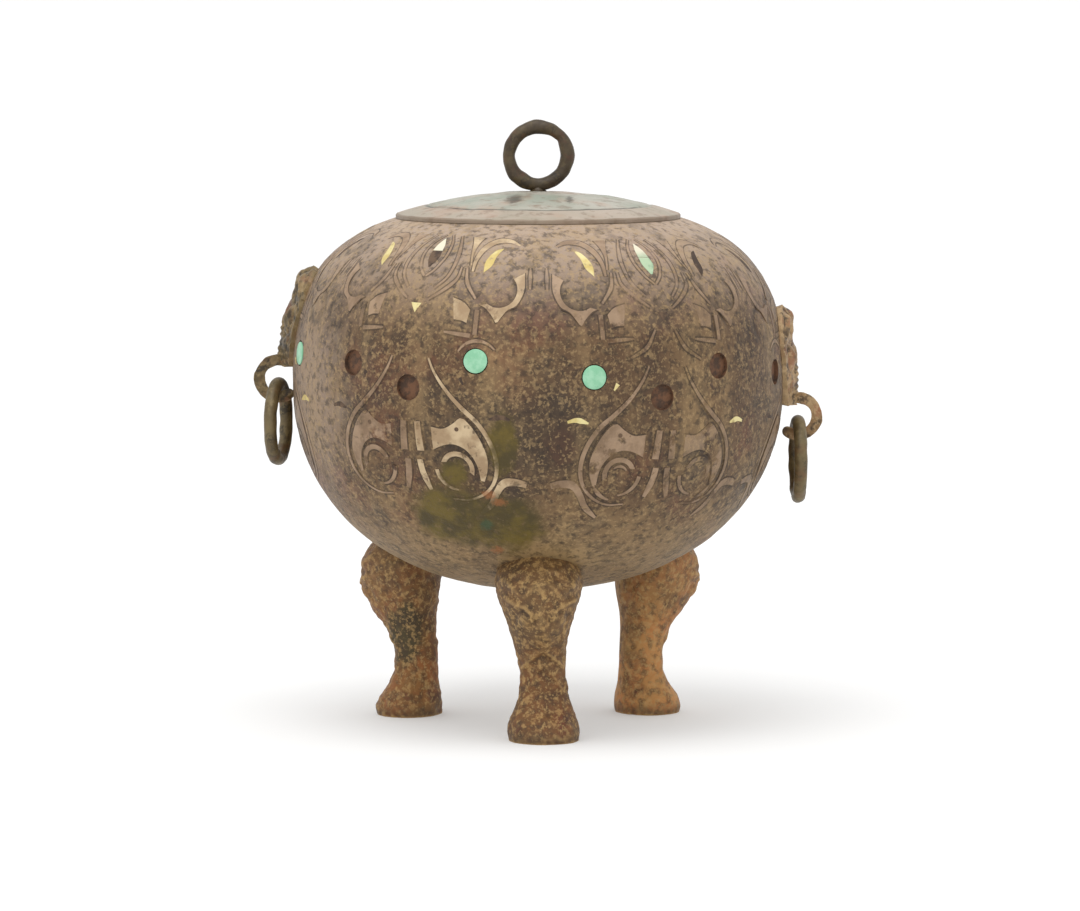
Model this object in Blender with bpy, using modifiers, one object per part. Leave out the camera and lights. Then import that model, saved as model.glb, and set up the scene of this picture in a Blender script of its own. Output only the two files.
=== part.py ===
"""Bronze dui: a globular food vessel on three cabriole legs, with a lid.

Metres, +Z up. The origin is on the floor under the bowl's axis. The two mask
handles lie on the X axis and the side that is looked at most faces -Y.
"""

import math

import bmesh
import bpy
from mathutils import Matrix, Vector

# Bowl
BOWL_RADIUS = 0.0698
EQUATOR_HEIGHT = 0.0981
SHOULDER_RISE = 0.0503
BELLY_DROP = 0.0594
SHOULDER_POWER = 2.81
BELLY_POWER = 2.18
WALL = 0.0028
MOUTH_RADIUS = 0.0360

# Lid
LID_RADIUS = 0.0404
LID_CROWN = 0.0063
LID_THICKNESS = 0.0022
LID_EDGE = 0.0010
FLANGE_WALL = 0.0020
FLANGE_DEPTH = 0.0055
FLANGE_CLEARANCE = 0.0006
LID_RING_RADIUS = 0.0083
LID_RING_WIRE = 0.0020
LID_FOOT_RADIUS = 0.0062
LID_FOOT_HEIGHT = 0.0030
LID_RING_SINK = 0.0002

# Legs, carved as animal masks at the knee
LEG_CIRCLE = 0.0390
LEG_TURN = math.radians(4.3)
LEG_OFFSET = -0.0014
KNEE_SHIFTS = (-0.0014, 0.0, 0.0)
KNEE_REACHES = (1.0, 1.10, 0.97)
FOOT_RADIUS = 0.0102
ANKLE_RADIUS = 0.0067
KNEE_RADIUS = 0.0126
BROW_HEIGHT = 0.0010
BROW_WIDTH = 0.0018
EYE_RADIUS = 0.0019
EYE_HEIGHT = 0.0008
SNOUT_HEIGHT = 0.0007

# Round settings for the turquoise
STONE_RADIUS = 0.0033
STONE_THICKNESS = 0.0011
SETTING_DEPTH = 0.0012
LEFT_SETTING_RISE = 0.0063
MIDDLE_SETTING_RISE = 0.0010
RIGHT_SETTING_RISE = 0.0094
LOW_SETTING = (5, 1)
LOW_SETTING_DROP = 0.0031
SETTING_SPREAD = math.radians(16.5)
ORNAMENT_TURN = math.radians(-0.8)
ORNAMENT_LEAN = math.radians(2.2)

# Mask handles and their drop rings
LEFT_LOOP_RISE = 0.0003
RIGHT_LOOP_RISE = -0.0105
LOOP_STANDOFF = 0.0042
LOOP_RADIUS = 0.0053
LOOP_WIRE = 0.0016
LOOP_START = math.radians(97)
MASK_HEIGHT = 0.0265
MASK_DROP = 0.0036
MASK_HALF_WIDTH = 0.0130
NOSE_HALF_WIDTH = 0.0042
MASK_CROWN = 0.0012
MASK_EDGE = 0.0009
MASK_RELIEF = 0.0031
RING_RADIUS = 0.0107
RING_WIRE = 0.0019
LEFT_RING_TURN = math.radians(-10)
RIGHT_RING_TURN = math.radians(2)

GAP = 0.0003
MERGE = 0.00001
MOTIFS = 6
LEGS = 3
MASK_POINTS = 12
MASK_ROWS = 16
FACE_POINTS = 16
REAR_POINTS = 6
TURN_STEPS = 44
CAVITY_STEPS = 32
LID_STEPS = 36
MASK_WIDEST = 0.35
QUARTER = math.pi / 2

# The settings that still hold a stone: motif number, then place in the motif
STONES_KEPT = ((0, 1), (1, -1), (3, 0), (3, 1), (4, -1), (5, -1), (5, 1))


def bowl_radius_height(turn, inset=0.0):
    """Radius and height of the bowl's outline, from -90 degrees (base) to 90 (top)."""
    above = turn >= 0
    power = SHOULDER_POWER if above else BELLY_POWER
    rise = (SHOULDER_RISE if above else BELLY_DROP) - inset
    radius = (BOWL_RADIUS - inset) * max(math.cos(turn), 0.0) ** (2 / power)
    height = rise * abs(math.sin(turn)) ** (2 / power)
    return radius, EQUATOR_HEIGHT + (height if above else -height)


def shoulder_height(radius, inset=0.0):
    """Height of the bowl above its equator at a radius."""
    share = (radius / (BOWL_RADIUS - inset)) ** SHOULDER_POWER
    return EQUATOR_HEIGHT + (SHOULDER_RISE - inset) * (1 - share) ** (1 / SHOULDER_POWER)


def belly_height(radius, inset=0.0):
    """Height of the bowl below its equator at a radius."""
    share = (radius / (BOWL_RADIUS - inset)) ** BELLY_POWER
    return EQUATOR_HEIGHT - (BELLY_DROP - inset) * (1 - share) ** (1 / BELLY_POWER)


def bowl_radius(height):
    """Radius of the bowl's outside at a height."""
    above = height >= EQUATOR_HEIGHT
    power = SHOULDER_POWER if above else BELLY_POWER
    reach = SHOULDER_RISE if above else BELLY_DROP
    share = (abs(height - EQUATOR_HEIGHT) / reach) ** power
    return BOWL_RADIUS * (1 - share) ** (1 / power)


def bowl_normal(height):
    """Outward slope of the bowl's outside at a height, as a unit (radial, vertical) pair."""
    step = 0.001 * BOWL_RADIUS
    fall = (bowl_radius(height - step) - bowl_radius(height + step)) / (2 * step)
    length = math.hypot(1.0, fall)
    return 1.0 / length, fall / length


def shoulder_turn(radius, inset=0.0):
    """Turn along the outline at which the shoulder has this radius."""
    share = min(radius / (BOWL_RADIUS - inset), 1.0)
    return math.acos(share ** (SHOULDER_POWER / 2))


SEAT_RADIUS = LID_RADIUS + 0.0005
SEAT_HEIGHT = shoulder_height(SEAT_RADIUS)
LID_BASE = SEAT_HEIGHT + GAP
LID_TOP = LID_BASE + LID_EDGE + LID_CROWN
SETTING_RADIUS = STONE_RADIUS + GAP
LOOP_CIRCLE = BOWL_RADIUS + LOOP_STANDOFF
LEFT_LOOP_HEIGHT = EQUATOR_HEIGHT + LEFT_LOOP_RISE
RIGHT_LOOP_HEIGHT = EQUATOR_HEIGHT + RIGHT_LOOP_RISE
MOTIF_ANGLE = 2 * math.pi / MOTIFS
SETTING_RISES = {-1: LEFT_SETTING_RISE, 0: MIDDLE_SETTING_RISE, 1: RIGHT_SETTING_RISE}


def clear_scene():
    for thing in list(bpy.data.objects):
        bpy.data.objects.remove(thing, do_unlink=True)


def collection(name):
    made = bpy.data.collections.new(name)
    bpy.context.scene.collection.children.link(made)
    return made


def material(name, colour, roughness, metallic):
    made = bpy.data.materials.new(name)
    made.use_nodes = True
    shader = made.node_tree.nodes["Principled BSDF"]
    shader.inputs["Base Color"].default_value = (*colour, 1.0)
    shader.inputs["Roughness"].default_value = roughness
    shader.inputs["Metallic"].default_value = metallic
    return made


def place(thing, group):
    for owner in list(thing.users_collection):
        owner.objects.unlink(thing)
    group.objects.link(thing)


def finish_piece(thing, finish, smooth_angle=40.0):
    thing.data.materials.clear()
    thing.data.materials.append(finish)
    thing.data.shade_smooth()
    thing.data.set_sharp_from_angle(angle=math.radians(smooth_angle))


def turned(name, profile, group, steps=TURN_STEPS):
    """A turned solid: an outline at +X, from its top to its foot, and a Screw modifier."""
    mesh = bpy.data.meshes.new(name)
    points = [(radius, 0.0, height) for radius, height in profile]
    edges = [(i, i + 1) for i in range(len(points) - 1)]
    mesh.from_pydata(points, edges, [])
    made = bpy.data.objects.new(name, mesh)
    group.objects.link(made)
    screw = made.modifiers.new("Turn", "SCREW")
    screw.angle = 2 * math.pi
    screw.steps = steps
    screw.render_steps = steps
    screw.use_merge_vertices = True
    screw.merge_threshold = MERGE
    return made


def lofted(name, sections, group):
    """A closed solid through rings of points that all have the same count."""
    shape = bmesh.new()
    rings = [[shape.verts.new(point) for point in ring] for ring in sections]
    count = len(rings[0])
    for lower, upper in zip(rings, rings[1:]):
        for i in range(count):
            j = (i + 1) % count
            shape.faces.new((lower[i], lower[j], upper[j], upper[i]))
    shape.faces.new(list(reversed(rings[0])))
    shape.faces.new(rings[-1])
    bmesh.ops.recalc_face_normals(shape, faces=shape.faces)
    mesh = bpy.data.meshes.new(name)
    shape.to_mesh(mesh)
    shape.free()
    made = bpy.data.objects.new(name, mesh)
    group.objects.link(made)
    return made


def boolean(target, tool, operation):
    cut = target.modifiers.new(tool.name, "BOOLEAN")
    cut.operation = operation
    cut.object = tool
    tool.hide_render = True
    tool.display_type = "WIRE"


def join_pieces(name, pieces, operation_pairs, group):
    """Applies the modifiers of the first piece and leaves one mesh object in the group."""
    first = pieces[0]
    for tool, operation in operation_pairs:
        boolean(first, tool, operation)
    bpy.context.view_layer.update()
    evaluated = first.evaluated_get(bpy.context.evaluated_depsgraph_get())
    mesh = bpy.data.meshes.new_from_object(evaluated)
    mesh.transform(first.matrix_world)
    made = bpy.data.objects.new(name, mesh)
    group.objects.link(made)
    for piece in pieces:
        bpy.data.objects.remove(piece, do_unlink=True)
    return made


# Bowl

def bowl_outline():
    top = shoulder_turn(SEAT_RADIUS)
    upper = [bowl_radius_height(top * (1 - i / 7)) for i in range(7)]
    lower = [bowl_radius_height(-QUARTER * i / 9) for i in range(10)]
    return [(0.0, SEAT_HEIGHT)] + upper + lower


def cavity_outline():
    top = shoulder_turn(MOUTH_RADIUS, WALL)
    rim = SEAT_HEIGHT + WALL
    upper = [bowl_radius_height(top * (1 - i / 6), WALL) for i in range(6)]
    lower = [bowl_radius_height(-QUARTER * i / 6, WALL) for i in range(7)]
    return [(0.0, rim), (MOUTH_RADIUS, rim)] + upper + lower


# Legs

def bump(distance, width):
    """A rounded ridge, 1 on its line and fading out a few widths away."""
    return math.exp(-((distance / width) ** 2))


def leg_stations(top):
    """Height, half width, front reach and back reach of the leg, from the sole up."""
    form = (
        (0.00, FOOT_RADIUS, 0.94, 0.98, 0.78),
        (0.04, FOOT_RADIUS, 0.99, 1.04, 0.81),
        (0.11, FOOT_RADIUS, 0.95, 0.92, 0.79),
        (0.19, FOOT_RADIUS, 0.80, 0.58, 0.76),
        (0.28, ANKLE_RADIUS, 1.01, 0.58, 1.17),
        (0.39, ANKLE_RADIUS, 0.95, 0.64, 1.17),
        (0.50, ANKLE_RADIUS, 1.01, 0.88, 1.09),
        (0.60, ANKLE_RADIUS, 1.13, 1.50, 1.06),
        (0.665, ANKLE_RADIUS, 1.27, 1.90, 1.10),
        (0.705, KNEE_RADIUS, 0.71, 1.13, 0.61),
        (0.76, KNEE_RADIUS, 0.79, 1.18, 0.62),
        (0.79, KNEE_RADIUS, 0.83, 1.19, 0.61),
        (0.82, KNEE_RADIUS, 0.87, 1.20, 0.60),
        (0.86, KNEE_RADIUS, 0.92, 1.21, 0.60),
        (0.95, KNEE_RADIUS, 0.985, 1.19, 0.62),
        (1.03, KNEE_RADIUS, 0.92, 1.02, 0.62),
        (1.12, KNEE_RADIUS, 0.64, 0.66, 0.55),
    )
    return [(share * top, *(size * part for part in parts)) for share, size, *parts in form]


def brow_relief(across, height, top, half_width):
    """Raised brow scrolls over the knee's eyes and the bent ridge of the snout."""
    side = abs(across) / half_width
    brow_line = top * (0.82 + 0.10 * (side - 0.4))
    brow = bump(height - brow_line, BROW_WIDTH) * min(1.0, max(0.0, 5 * (side - 0.22)))
    eye = bump(math.hypot((side - 0.48) * half_width, height - 0.745 * top), EYE_RADIUS)
    snout_line = top * (0.56 - 0.14 * side)
    snout = bump(height - snout_line, BROW_WIDTH)
    fade = min(1.0, 4 * (1 - side))
    return fade * (BROW_HEIGHT * brow + EYE_HEIGHT * eye + SNOUT_HEIGHT * snout)


def leg_ring(station, top, shift, reach):
    """One level section of a leg that faces +X, its knee shifted sideways and drawn out."""
    height, half_width, front, back = station
    knee = min(1.0, max(0.0, (height / top - 0.35) / 0.35))
    front *= 1 + (reach - 1) * knee
    face = [math.pi * (i / FACE_POINTS - 0.5) for i in range(FACE_POINTS)]
    rear = [math.pi * (i / REAR_POINTS + 0.5) for i in range(REAR_POINTS)]
    ring = []
    for angle in face + rear:
        across = half_width * math.sin(angle)
        depth = (front if math.cos(angle) > 0 else back) * math.cos(angle)
        raised = 0.0
        if math.cos(angle) > 0.05:
            raised = brow_relief(across, height, top, half_width)
        scale = 1 + raised / math.hypot(across, depth)
        ring.append(Vector((LEG_CIRCLE + depth * scale, across * scale + shift * knee, height)))
    return ring


def leg(number, group):
    top = belly_height(LEG_CIRCLE)
    hand = (KNEE_SHIFTS[number], KNEE_REACHES[number])
    sections = [leg_ring(station, top, *hand) for station in leg_stations(top)]
    made = lofted(f"leg {number}", sections, group)
    angle = -QUARTER + LEG_TURN + 2 * math.pi * number / LEGS
    made.data.transform(Matrix.Translation((LEG_OFFSET, 0, 0)) @ Matrix.Rotation(angle, 4, "Z"))
    return made


# Round settings and the stones in them

def setting_place(motif, place_in_motif):
    """Angle and height of one setting, from the motif's number and -1, 0 or 1."""
    angle = -QUARTER + ORNAMENT_TURN + MOTIF_ANGLE * (motif - 0.5)
    angle += place_in_motif * SETTING_SPREAD
    rise = SETTING_RISES[place_in_motif]
    if (motif, place_in_motif) == LOW_SETTING:
        rise -= LOW_SETTING_DROP
    return angle, EQUATOR_HEIGHT + rise - BOWL_RADIUS * math.cos(angle) * math.tan(ORNAMENT_LEAN)


def is_under_handle(motif, place_in_motif):
    angle = setting_place(motif, place_in_motif)[0]
    return place_in_motif == 0 and abs(math.sin(angle)) < 0.5


def radial_frame(angle, height, depth):
    """A frame whose +Z points out of the bowl's wall, sunk by a depth."""
    radial, vertical = bowl_normal(height)
    outward = Vector((radial * math.cos(angle), radial * math.sin(angle), vertical))
    radius = bowl_radius(height)
    base = Vector((radius * math.cos(angle), radius * math.sin(angle), height))
    turn = outward.to_track_quat("Z", "Y").to_matrix().to_4x4()
    return Matrix.Translation(base - depth * outward) @ turn


def disc(name, radius, thickness, frame, group, sides=12):
    bpy.ops.mesh.primitive_cylinder_add(vertices=sides, radius=radius, depth=thickness)
    made = bpy.context.object
    made.name = name
    made.data.name = name
    made.data.transform(Matrix.Translation((0, 0, thickness / 2)))
    made.matrix_world = frame
    place(made, group)
    return made


def settings():
    places = [(motif, spot) for motif in range(MOTIFS) for spot in (-1, 0, 1)]
    return [place for place in places if not is_under_handle(*place)]


def stone(number, spot, finish, group):
    frame = radial_frame(*setting_place(*spot), SETTING_DEPTH - GAP)
    made = disc(f"turquoise_{number}", STONE_RADIUS, STONE_THICKNESS, frame, group)
    soften = made.modifiers.new("Rounded edge", "BEVEL")
    soften.width = 0.0003
    soften.segments = 1
    finish_piece(made, finish)
    return made


def vessel(finish, group, cutters):
    body = turned("bowl", bowl_outline(), cutters)
    legs = [leg(number, cutters) for number in range(LEGS)]
    cavity = turned("cavity", cavity_outline(), cutters, steps=CAVITY_STEPS)
    holes = []
    for spot in settings():
        frame = radial_frame(*setting_place(*spot), SETTING_DEPTH)
        holes.append(disc("setting", SETTING_RADIUS, 3 * SETTING_DEPTH, frame, cutters))
    steps = [(piece, "UNION") for piece in legs]
    steps += [(piece, "DIFFERENCE") for piece in [cavity] + holes]
    made = join_pieces("vessel", [body] + legs + [cavity] + holes, steps, group)
    finish_piece(made, finish)
    return made


# Lid

def dome_height(radius, drop=0.0):
    """Height of the lid's crown at a radius, a shallow ball shape."""
    ball = (LID_RADIUS ** 2 + LID_CROWN ** 2) / (2 * LID_CROWN)
    return LID_TOP - drop - ball + math.sqrt(ball ** 2 - radius ** 2)


def lid_outline():
    flange_outer = MOUTH_RADIUS - FLANGE_CLEARANCE
    flange_inner = flange_outer - FLANGE_WALL
    flange_foot = LID_BASE - FLANGE_DEPTH
    crown = [(LID_RADIUS * i / 5, dome_height(LID_RADIUS * i / 5)) for i in range(6)]
    hollow = [flange_inner * (1 - i / 2) for i in range(3)]
    under = [(radius, dome_height(radius, LID_THICKNESS)) for radius in hollow]
    edge = [(LID_RADIUS, LID_BASE), (flange_outer, LID_BASE)]
    flange = [(flange_outer, flange_foot), (flange_inner, flange_foot)]
    return crown + edge + flange + under


def lid_ring(group):
    centre = LID_TOP + LID_RING_RADIUS + LID_RING_WIRE - LID_RING_SINK
    bpy.ops.mesh.primitive_torus_add(
        location=(0, 0, centre), rotation=(QUARTER, 0, 0), major_segments=24, minor_segments=8,
        major_radius=LID_RING_RADIUS, minor_radius=LID_RING_WIRE)
    made = bpy.context.object
    place(made, group)
    return made


def lid_foot():
    """Outline of the low boss, hollow-sided, that the ring is cast on."""
    foot = LID_TOP - 0.5 * LID_THICKNESS
    rise = LID_FOOT_HEIGHT + 0.5 * LID_THICKNESS
    turns = [QUARTER * i / 4 for i in range(1, 5)]
    flare = [(LID_FOOT_RADIUS * (1 - math.cos(a)), foot + rise * (1 - math.sin(a))) for a in turns]
    flare[0] = (flare[0][0] + LID_RING_WIRE / 2, foot + rise)
    return [(0.0, foot + rise)] + flare + [(0.0, foot)]


def lid(finish, group, cutters):
    cap = turned("cap", lid_outline(), cutters, steps=LID_STEPS)
    foot = turned("ring foot", lid_foot(), cutters, steps=16)
    ring = lid_ring(cutters)
    made = join_pieces("lid", [cap, foot, ring], [(foot, "UNION"), (ring, "UNION")], group)
    finish_piece(made, finish)
    return made


# Mask handles

def mask_half_width(share):
    """Half width of the mask from its brow (0) to its nose (1)."""
    if share < MASK_WIDEST:
        return MASK_HALF_WIDTH * math.sqrt(1 - ((MASK_WIDEST - share) / 0.42) ** 2)
    below = (share - MASK_WIDEST) / (1 - MASK_WIDEST)
    return MASK_HALF_WIDTH - (MASK_HALF_WIDTH - NOSE_HALF_WIDTH) * below ** 1.3


def mask_relief(side, share):
    """Carving of the mask as a share of its relief: crest, horns, eyes and nose on a dome."""
    out = abs(side)
    dome = 0.42 * (1 - out ** 2)
    crest = 0.50 * bump(side, 0.24) * bump(share - 0.12, 0.11)
    horn_line = 0.33 - 0.22 * math.sin(math.pi * min(1.0, out / 1.1)) ** 2
    horn = 0.46 * bump(share - horn_line, 0.080) * min(1.0, max(0.0, 3 * (out - 0.10)))
    horn *= min(1.0, 4 * (1 - out))
    eye = 0.46 * bump(math.hypot(out - 0.50, 1.6 * (share - 0.50)), 0.22)
    bridge = min(1.0, max(0.0, (share - 0.28) / 0.25))
    nose = 0.55 * bump(side, 0.20 + 0.30 * max(0.0, share - 0.55)) * bridge
    cheek = 0.25 * bump(out - 0.60, 0.22) * bump(share - 0.76, 0.12)
    return min(1.0, dome + crest + horn + eye + nose + cheek)


def mask_crown(side):
    """Scalloped top edge: a lobe in the middle and one for each horn."""
    return 0.5 * (1 + math.cos(2.6 * math.pi * side)) * (1 - 0.5 * side ** 2)


def mask_section(loop_height, share, across=MASK_POINTS):
    """One section of the mask, its front from side to side and its back returning."""
    half_width = mask_half_width(share)
    fade = min(1.0, 9 * share + 0.30)

    def point(side, lift):
        height = loop_height + MASK_DROP + MASK_HEIGHT * (1 - share)
        height += MASK_CROWN * mask_crown(side) * (1 - share) ** 3
        radial, vertical = bowl_normal(height)
        out = bowl_radius(height) + radial * lift
        angle = side * half_width / BOWL_RADIUS
        return Vector((out * math.cos(angle), out * math.sin(angle), height + vertical * lift))

    sides = [2 * i / across - 1 for i in range(across + 1)]
    front = [point(s, GAP + MASK_EDGE + MASK_RELIEF * fade * mask_relief(s, share)) for s in sides]
    back = [point(s, GAP) for s in reversed(sides)]
    return front + back


def loop_end():
    """Turn at which the loop's lower end comes back to the wall."""
    reach = (LOOP_STANDOFF - GAP) / (LOOP_RADIUS + LOOP_WIRE)
    return -math.acos(-reach)


def loop_wire(loop_height, group):
    """The round loop that the mask's nose turns into, in the upright plane through the axis."""
    steps = 15
    spline_curve = bpy.data.curves.new("loop", "CURVE")
    spline_curve.dimensions = "3D"
    spline_curve.bevel_depth = LOOP_WIRE
    spline_curve.bevel_resolution = 2
    spline_curve.use_fill_caps = True
    spline = spline_curve.splines.new("POLY")
    spline.points.add(steps)
    for i, point in enumerate(spline.points):
        turn = LOOP_START + (loop_end() - LOOP_START) * i / steps
        out = LOOP_CIRCLE + LOOP_RADIUS * math.cos(turn)
        point.co = (out, 0.0, loop_height + LOOP_RADIUS * math.sin(turn), 1.0)
    route = bpy.data.objects.new("loop route", spline_curve)
    group.objects.link(route)
    bpy.context.view_layer.update()
    evaluated = route.evaluated_get(bpy.context.evaluated_depsgraph_get())
    mesh = bpy.data.meshes.new_from_object(evaluated)
    shape = bmesh.new()
    shape.from_mesh(mesh)
    bmesh.ops.remove_doubles(shape, verts=shape.verts, dist=MERGE)
    shape.to_mesh(mesh)
    shape.free()
    made = bpy.data.objects.new("loop", mesh)
    made.matrix_world = route.matrix_world
    group.objects.link(made)
    bpy.data.objects.remove(route, do_unlink=True)
    return made


def mask(name, loop_height, turn, finish, group, cutters):
    sections = [mask_section(loop_height, i / MASK_ROWS) for i in range(MASK_ROWS + 1)]
    plate = lofted("mask plate", sections, cutters)
    loop = loop_wire(loop_height, cutters)
    made = join_pieces(name, [plate, loop], [(loop, "UNION")], group)
    made.data.transform(Matrix.Rotation(turn, 4, "Z"))
    finish_piece(made, finish, smooth_angle=60.0)
    return made


def ring_pivot(loop_height, side):
    """Centre of the ring's wire where it hangs in the loop."""
    drop = LOOP_RADIUS - LOOP_WIRE - RING_WIRE - GAP
    return Vector((side * LOOP_CIRCLE, 0.0, loop_height - drop))


def drop_ring(name, loop_height, side, turn, finish, group):
    """A loose ring, its origin where its wire hangs in the loop."""
    bpy.ops.mesh.primitive_torus_add(
        major_segments=24, minor_segments=8, major_radius=RING_RADIUS, minor_radius=RING_WIRE)
    made = bpy.context.object
    made.name = name
    made.data.name = name
    hang = Matrix.Translation((0, 0, -RING_RADIUS))
    stand = Matrix.Rotation(QUARTER, 4, "Y")
    made.data.transform(Matrix.Rotation(turn, 4, "Z") @ hang @ stand)
    made.location = ring_pivot(loop_height, side)
    place(made, group)
    finish_piece(made, finish)
    return made


def main():
    clear_scene()
    parts = collection("Bronze dui")
    cutters = collection("Cutters")
    brown = material("Brown patinated bronze", (0.19, 0.14, 0.10), 0.62, 0.45)
    grey = material("Grey green bronze", (0.30, 0.28, 0.22), 0.60, 0.35)
    olive = material("Olive bronze", (0.17, 0.15, 0.09), 0.55, 0.50)
    turquoise = material("Turquoise", (0.30, 0.68, 0.52), 0.45, 0.0)

    vessel(brown, parts, cutters)
    lid(grey, parts, cutters)
    mask("mask_left", LEFT_LOOP_HEIGHT, math.pi, olive, parts, cutters)
    mask("mask_right", RIGHT_LOOP_HEIGHT, 0.0, olive, parts, cutters)
    drop_ring("ring_left", LEFT_LOOP_HEIGHT, -1, LEFT_RING_TURN, olive, parts)
    drop_ring("ring_right", RIGHT_LOOP_HEIGHT, 1, RIGHT_RING_TURN, olive, parts)
    for number, spot in enumerate(STONES_KEPT, start=1):
        stone(number, spot, turquoise, parts)
    bpy.data.collections.remove(cutters)


main()
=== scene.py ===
"""Looks of an inlaid bronze dui, a globular lidded food vessel on three cabriole legs.

The frame gives the solids and where they stand. Each class here models one sub-assembly in
metres, finer than its solid and in the same place, and dresses it in its finishes.
"""

from __future__ import annotations

import logging
import math
from contextlib import contextmanager
from dataclasses import dataclass, replace
from enum import Enum
from functools import cached_property
from typing import Iterator, Sequence

import bmesh
import bpy
import numpy as np
from mathutils import Matrix, Vector

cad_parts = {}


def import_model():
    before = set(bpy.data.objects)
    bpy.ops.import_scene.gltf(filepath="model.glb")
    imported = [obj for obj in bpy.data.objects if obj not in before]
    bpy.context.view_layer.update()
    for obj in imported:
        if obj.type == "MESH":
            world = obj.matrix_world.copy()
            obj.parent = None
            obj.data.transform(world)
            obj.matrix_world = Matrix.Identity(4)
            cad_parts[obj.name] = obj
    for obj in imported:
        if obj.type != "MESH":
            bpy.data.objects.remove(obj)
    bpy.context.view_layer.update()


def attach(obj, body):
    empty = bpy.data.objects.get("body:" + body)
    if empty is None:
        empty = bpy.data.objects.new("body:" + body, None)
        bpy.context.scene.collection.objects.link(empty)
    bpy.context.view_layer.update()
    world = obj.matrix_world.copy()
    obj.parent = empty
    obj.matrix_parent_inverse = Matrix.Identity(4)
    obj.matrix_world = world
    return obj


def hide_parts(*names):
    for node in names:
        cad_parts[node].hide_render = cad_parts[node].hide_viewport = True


log = logging.getLogger("dui")

MM = 0.001
QUARTER = math.pi / 2
# Points nearer to each other than MERGE are one point
MERGE = 0.000002
# Room that pieces leave between them, as the solids do
GAP = 0.0003

Socket = bpy.types.NodeSocket
Colour = tuple[float, float, float]
Triple = tuple[float, float, float]
Span = tuple[float, float]
Line = Sequence[Span]

WHITE: Colour = (1.0, 1.0, 1.0)


# Small tools for meshes

def deselect_all() -> None:
    """Clear the selection that the frame and every new primitive leave behind."""
    for thing in bpy.context.selected_objects:
        thing.select_set(False)


def take(thing: bpy.types.Object) -> None:
    """Make one object the only selected and the active one."""
    deselect_all()
    thing.select_set(True)
    bpy.context.view_layer.objects.active = thing


@contextmanager
def editing(thing: bpy.types.Object) -> Iterator[None]:
    """Work on one object in edit mode, with all of it selected at first."""
    take(thing)
    bpy.ops.object.mode_set(mode="EDIT")
    bpy.ops.mesh.select_mode(type="VERT")
    bpy.ops.mesh.select_all(action="SELECT")
    yield
    bpy.ops.object.mode_set(mode="OBJECT")


def name_new(name: str) -> bpy.types.Object:
    """Name the object that an operator has just made.

    Args:
        name: name of the piece.

    Returns:
        The new object, alone selected.
    """
    thing = bpy.context.object
    thing.name = name
    thing.data.name = name
    take(thing)
    return thing


def points_of(thing: bpy.types.Object) -> np.ndarray:
    """Places of all points of a mesh object, one row each."""
    points = np.empty(len(thing.data.vertices) * 3)
    thing.data.vertices.foreach_get("co", points)
    return points.reshape(-1, 3)


def move_points(thing: bpy.types.Object, points: np.ndarray) -> None:
    """Give all points of a mesh object new places."""
    thing.data.vertices.foreach_set("co", points.ravel())
    thing.data.update()


def normals_of(thing: bpy.types.Object) -> np.ndarray:
    """Outward directions at all points of a mesh object, one row each."""
    normals = np.empty(len(thing.data.vertices) * 3)
    thing.data.vertices.foreach_get("normal", normals)
    return normals.reshape(-1, 3)


def push_out(thing: bpy.types.Object, lift: np.ndarray) -> None:
    """Move each point of a mesh object in its outward direction by its own lift."""
    move_points(thing, points_of(thing) + normals_of(thing) * lift[:, None])


def put_in_scene(name: str, data: bpy.types.ID) -> bpy.types.Object:
    """Make an object of a mesh, lamp or camera and put it in the scene."""
    thing = bpy.data.objects.new(name, data)
    bpy.context.scene.collection.objects.link(thing)
    return thing


def aim(thing: bpy.types.Object, place: Triple, target: Triple) -> None:
    """Put a lamp or camera in its place and turn it to a target."""
    thing.location = place
    look = Vector(target) - Vector(place)
    thing.rotation_euler = look.to_track_quat("-Z", "Y").to_euler()


def apply_modifier(thing: bpy.types.Object, modifier: bpy.types.Modifier) -> None:
    """Apply one modifier of a piece."""
    take(thing)
    bpy.ops.object.modifier_apply(modifier=modifier.name)


def join(name: str, pieces: Sequence[bpy.types.Object]) -> bpy.types.Object:
    """Join pieces into the first of them.

    Args:
        name: name of the joined piece.
        pieces: the objects to join, at least one.

    Returns:
        The joined object.
    """
    take(pieces[0])
    for piece in pieces:
        piece.select_set(True)
    if len(pieces) > 1:
        bpy.ops.object.join()
    return name_new(name)


def merge_and_face_out(thing: bpy.types.Object) -> None:
    """Merge double points and turn the faces outwards."""
    with editing(thing):
        bpy.ops.mesh.remove_doubles(threshold=MERGE)
        bpy.ops.mesh.normals_make_consistent(inside=False)


def shade(thing: bpy.types.Object, angle: float) -> None:
    """Shade a piece smooth, but for edges sharper than an angle in degrees."""
    take(thing)
    bpy.ops.object.shade_smooth_by_angle(angle=math.radians(angle))


def spun(name: str, profile: Line, steps: int) -> bpy.types.Object:
    """Turn a closed or pole-to-pole outline round the upright axis.

    Args:
        name: name of the piece.
        profile: radius and height of each point of the outline.
        steps: how many steps the turn has.

    Returns:
        The turned piece, its faces outwards.
    """
    mesh = bpy.data.meshes.new(name)
    edges = [(i, i + 1) for i in range(len(profile) - 1)]
    mesh.from_pydata([(radius, 0.0, height) for radius, height in profile], edges, [])
    thing = put_in_scene(name, mesh)
    with editing(thing):
        bpy.ops.mesh.spin(steps=steps, angle=2 * math.pi, center=(0, 0, 0), axis=(0, 0, 1))
        bpy.ops.mesh.select_all(action="SELECT")
    merge_and_face_out(thing)
    return thing


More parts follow.
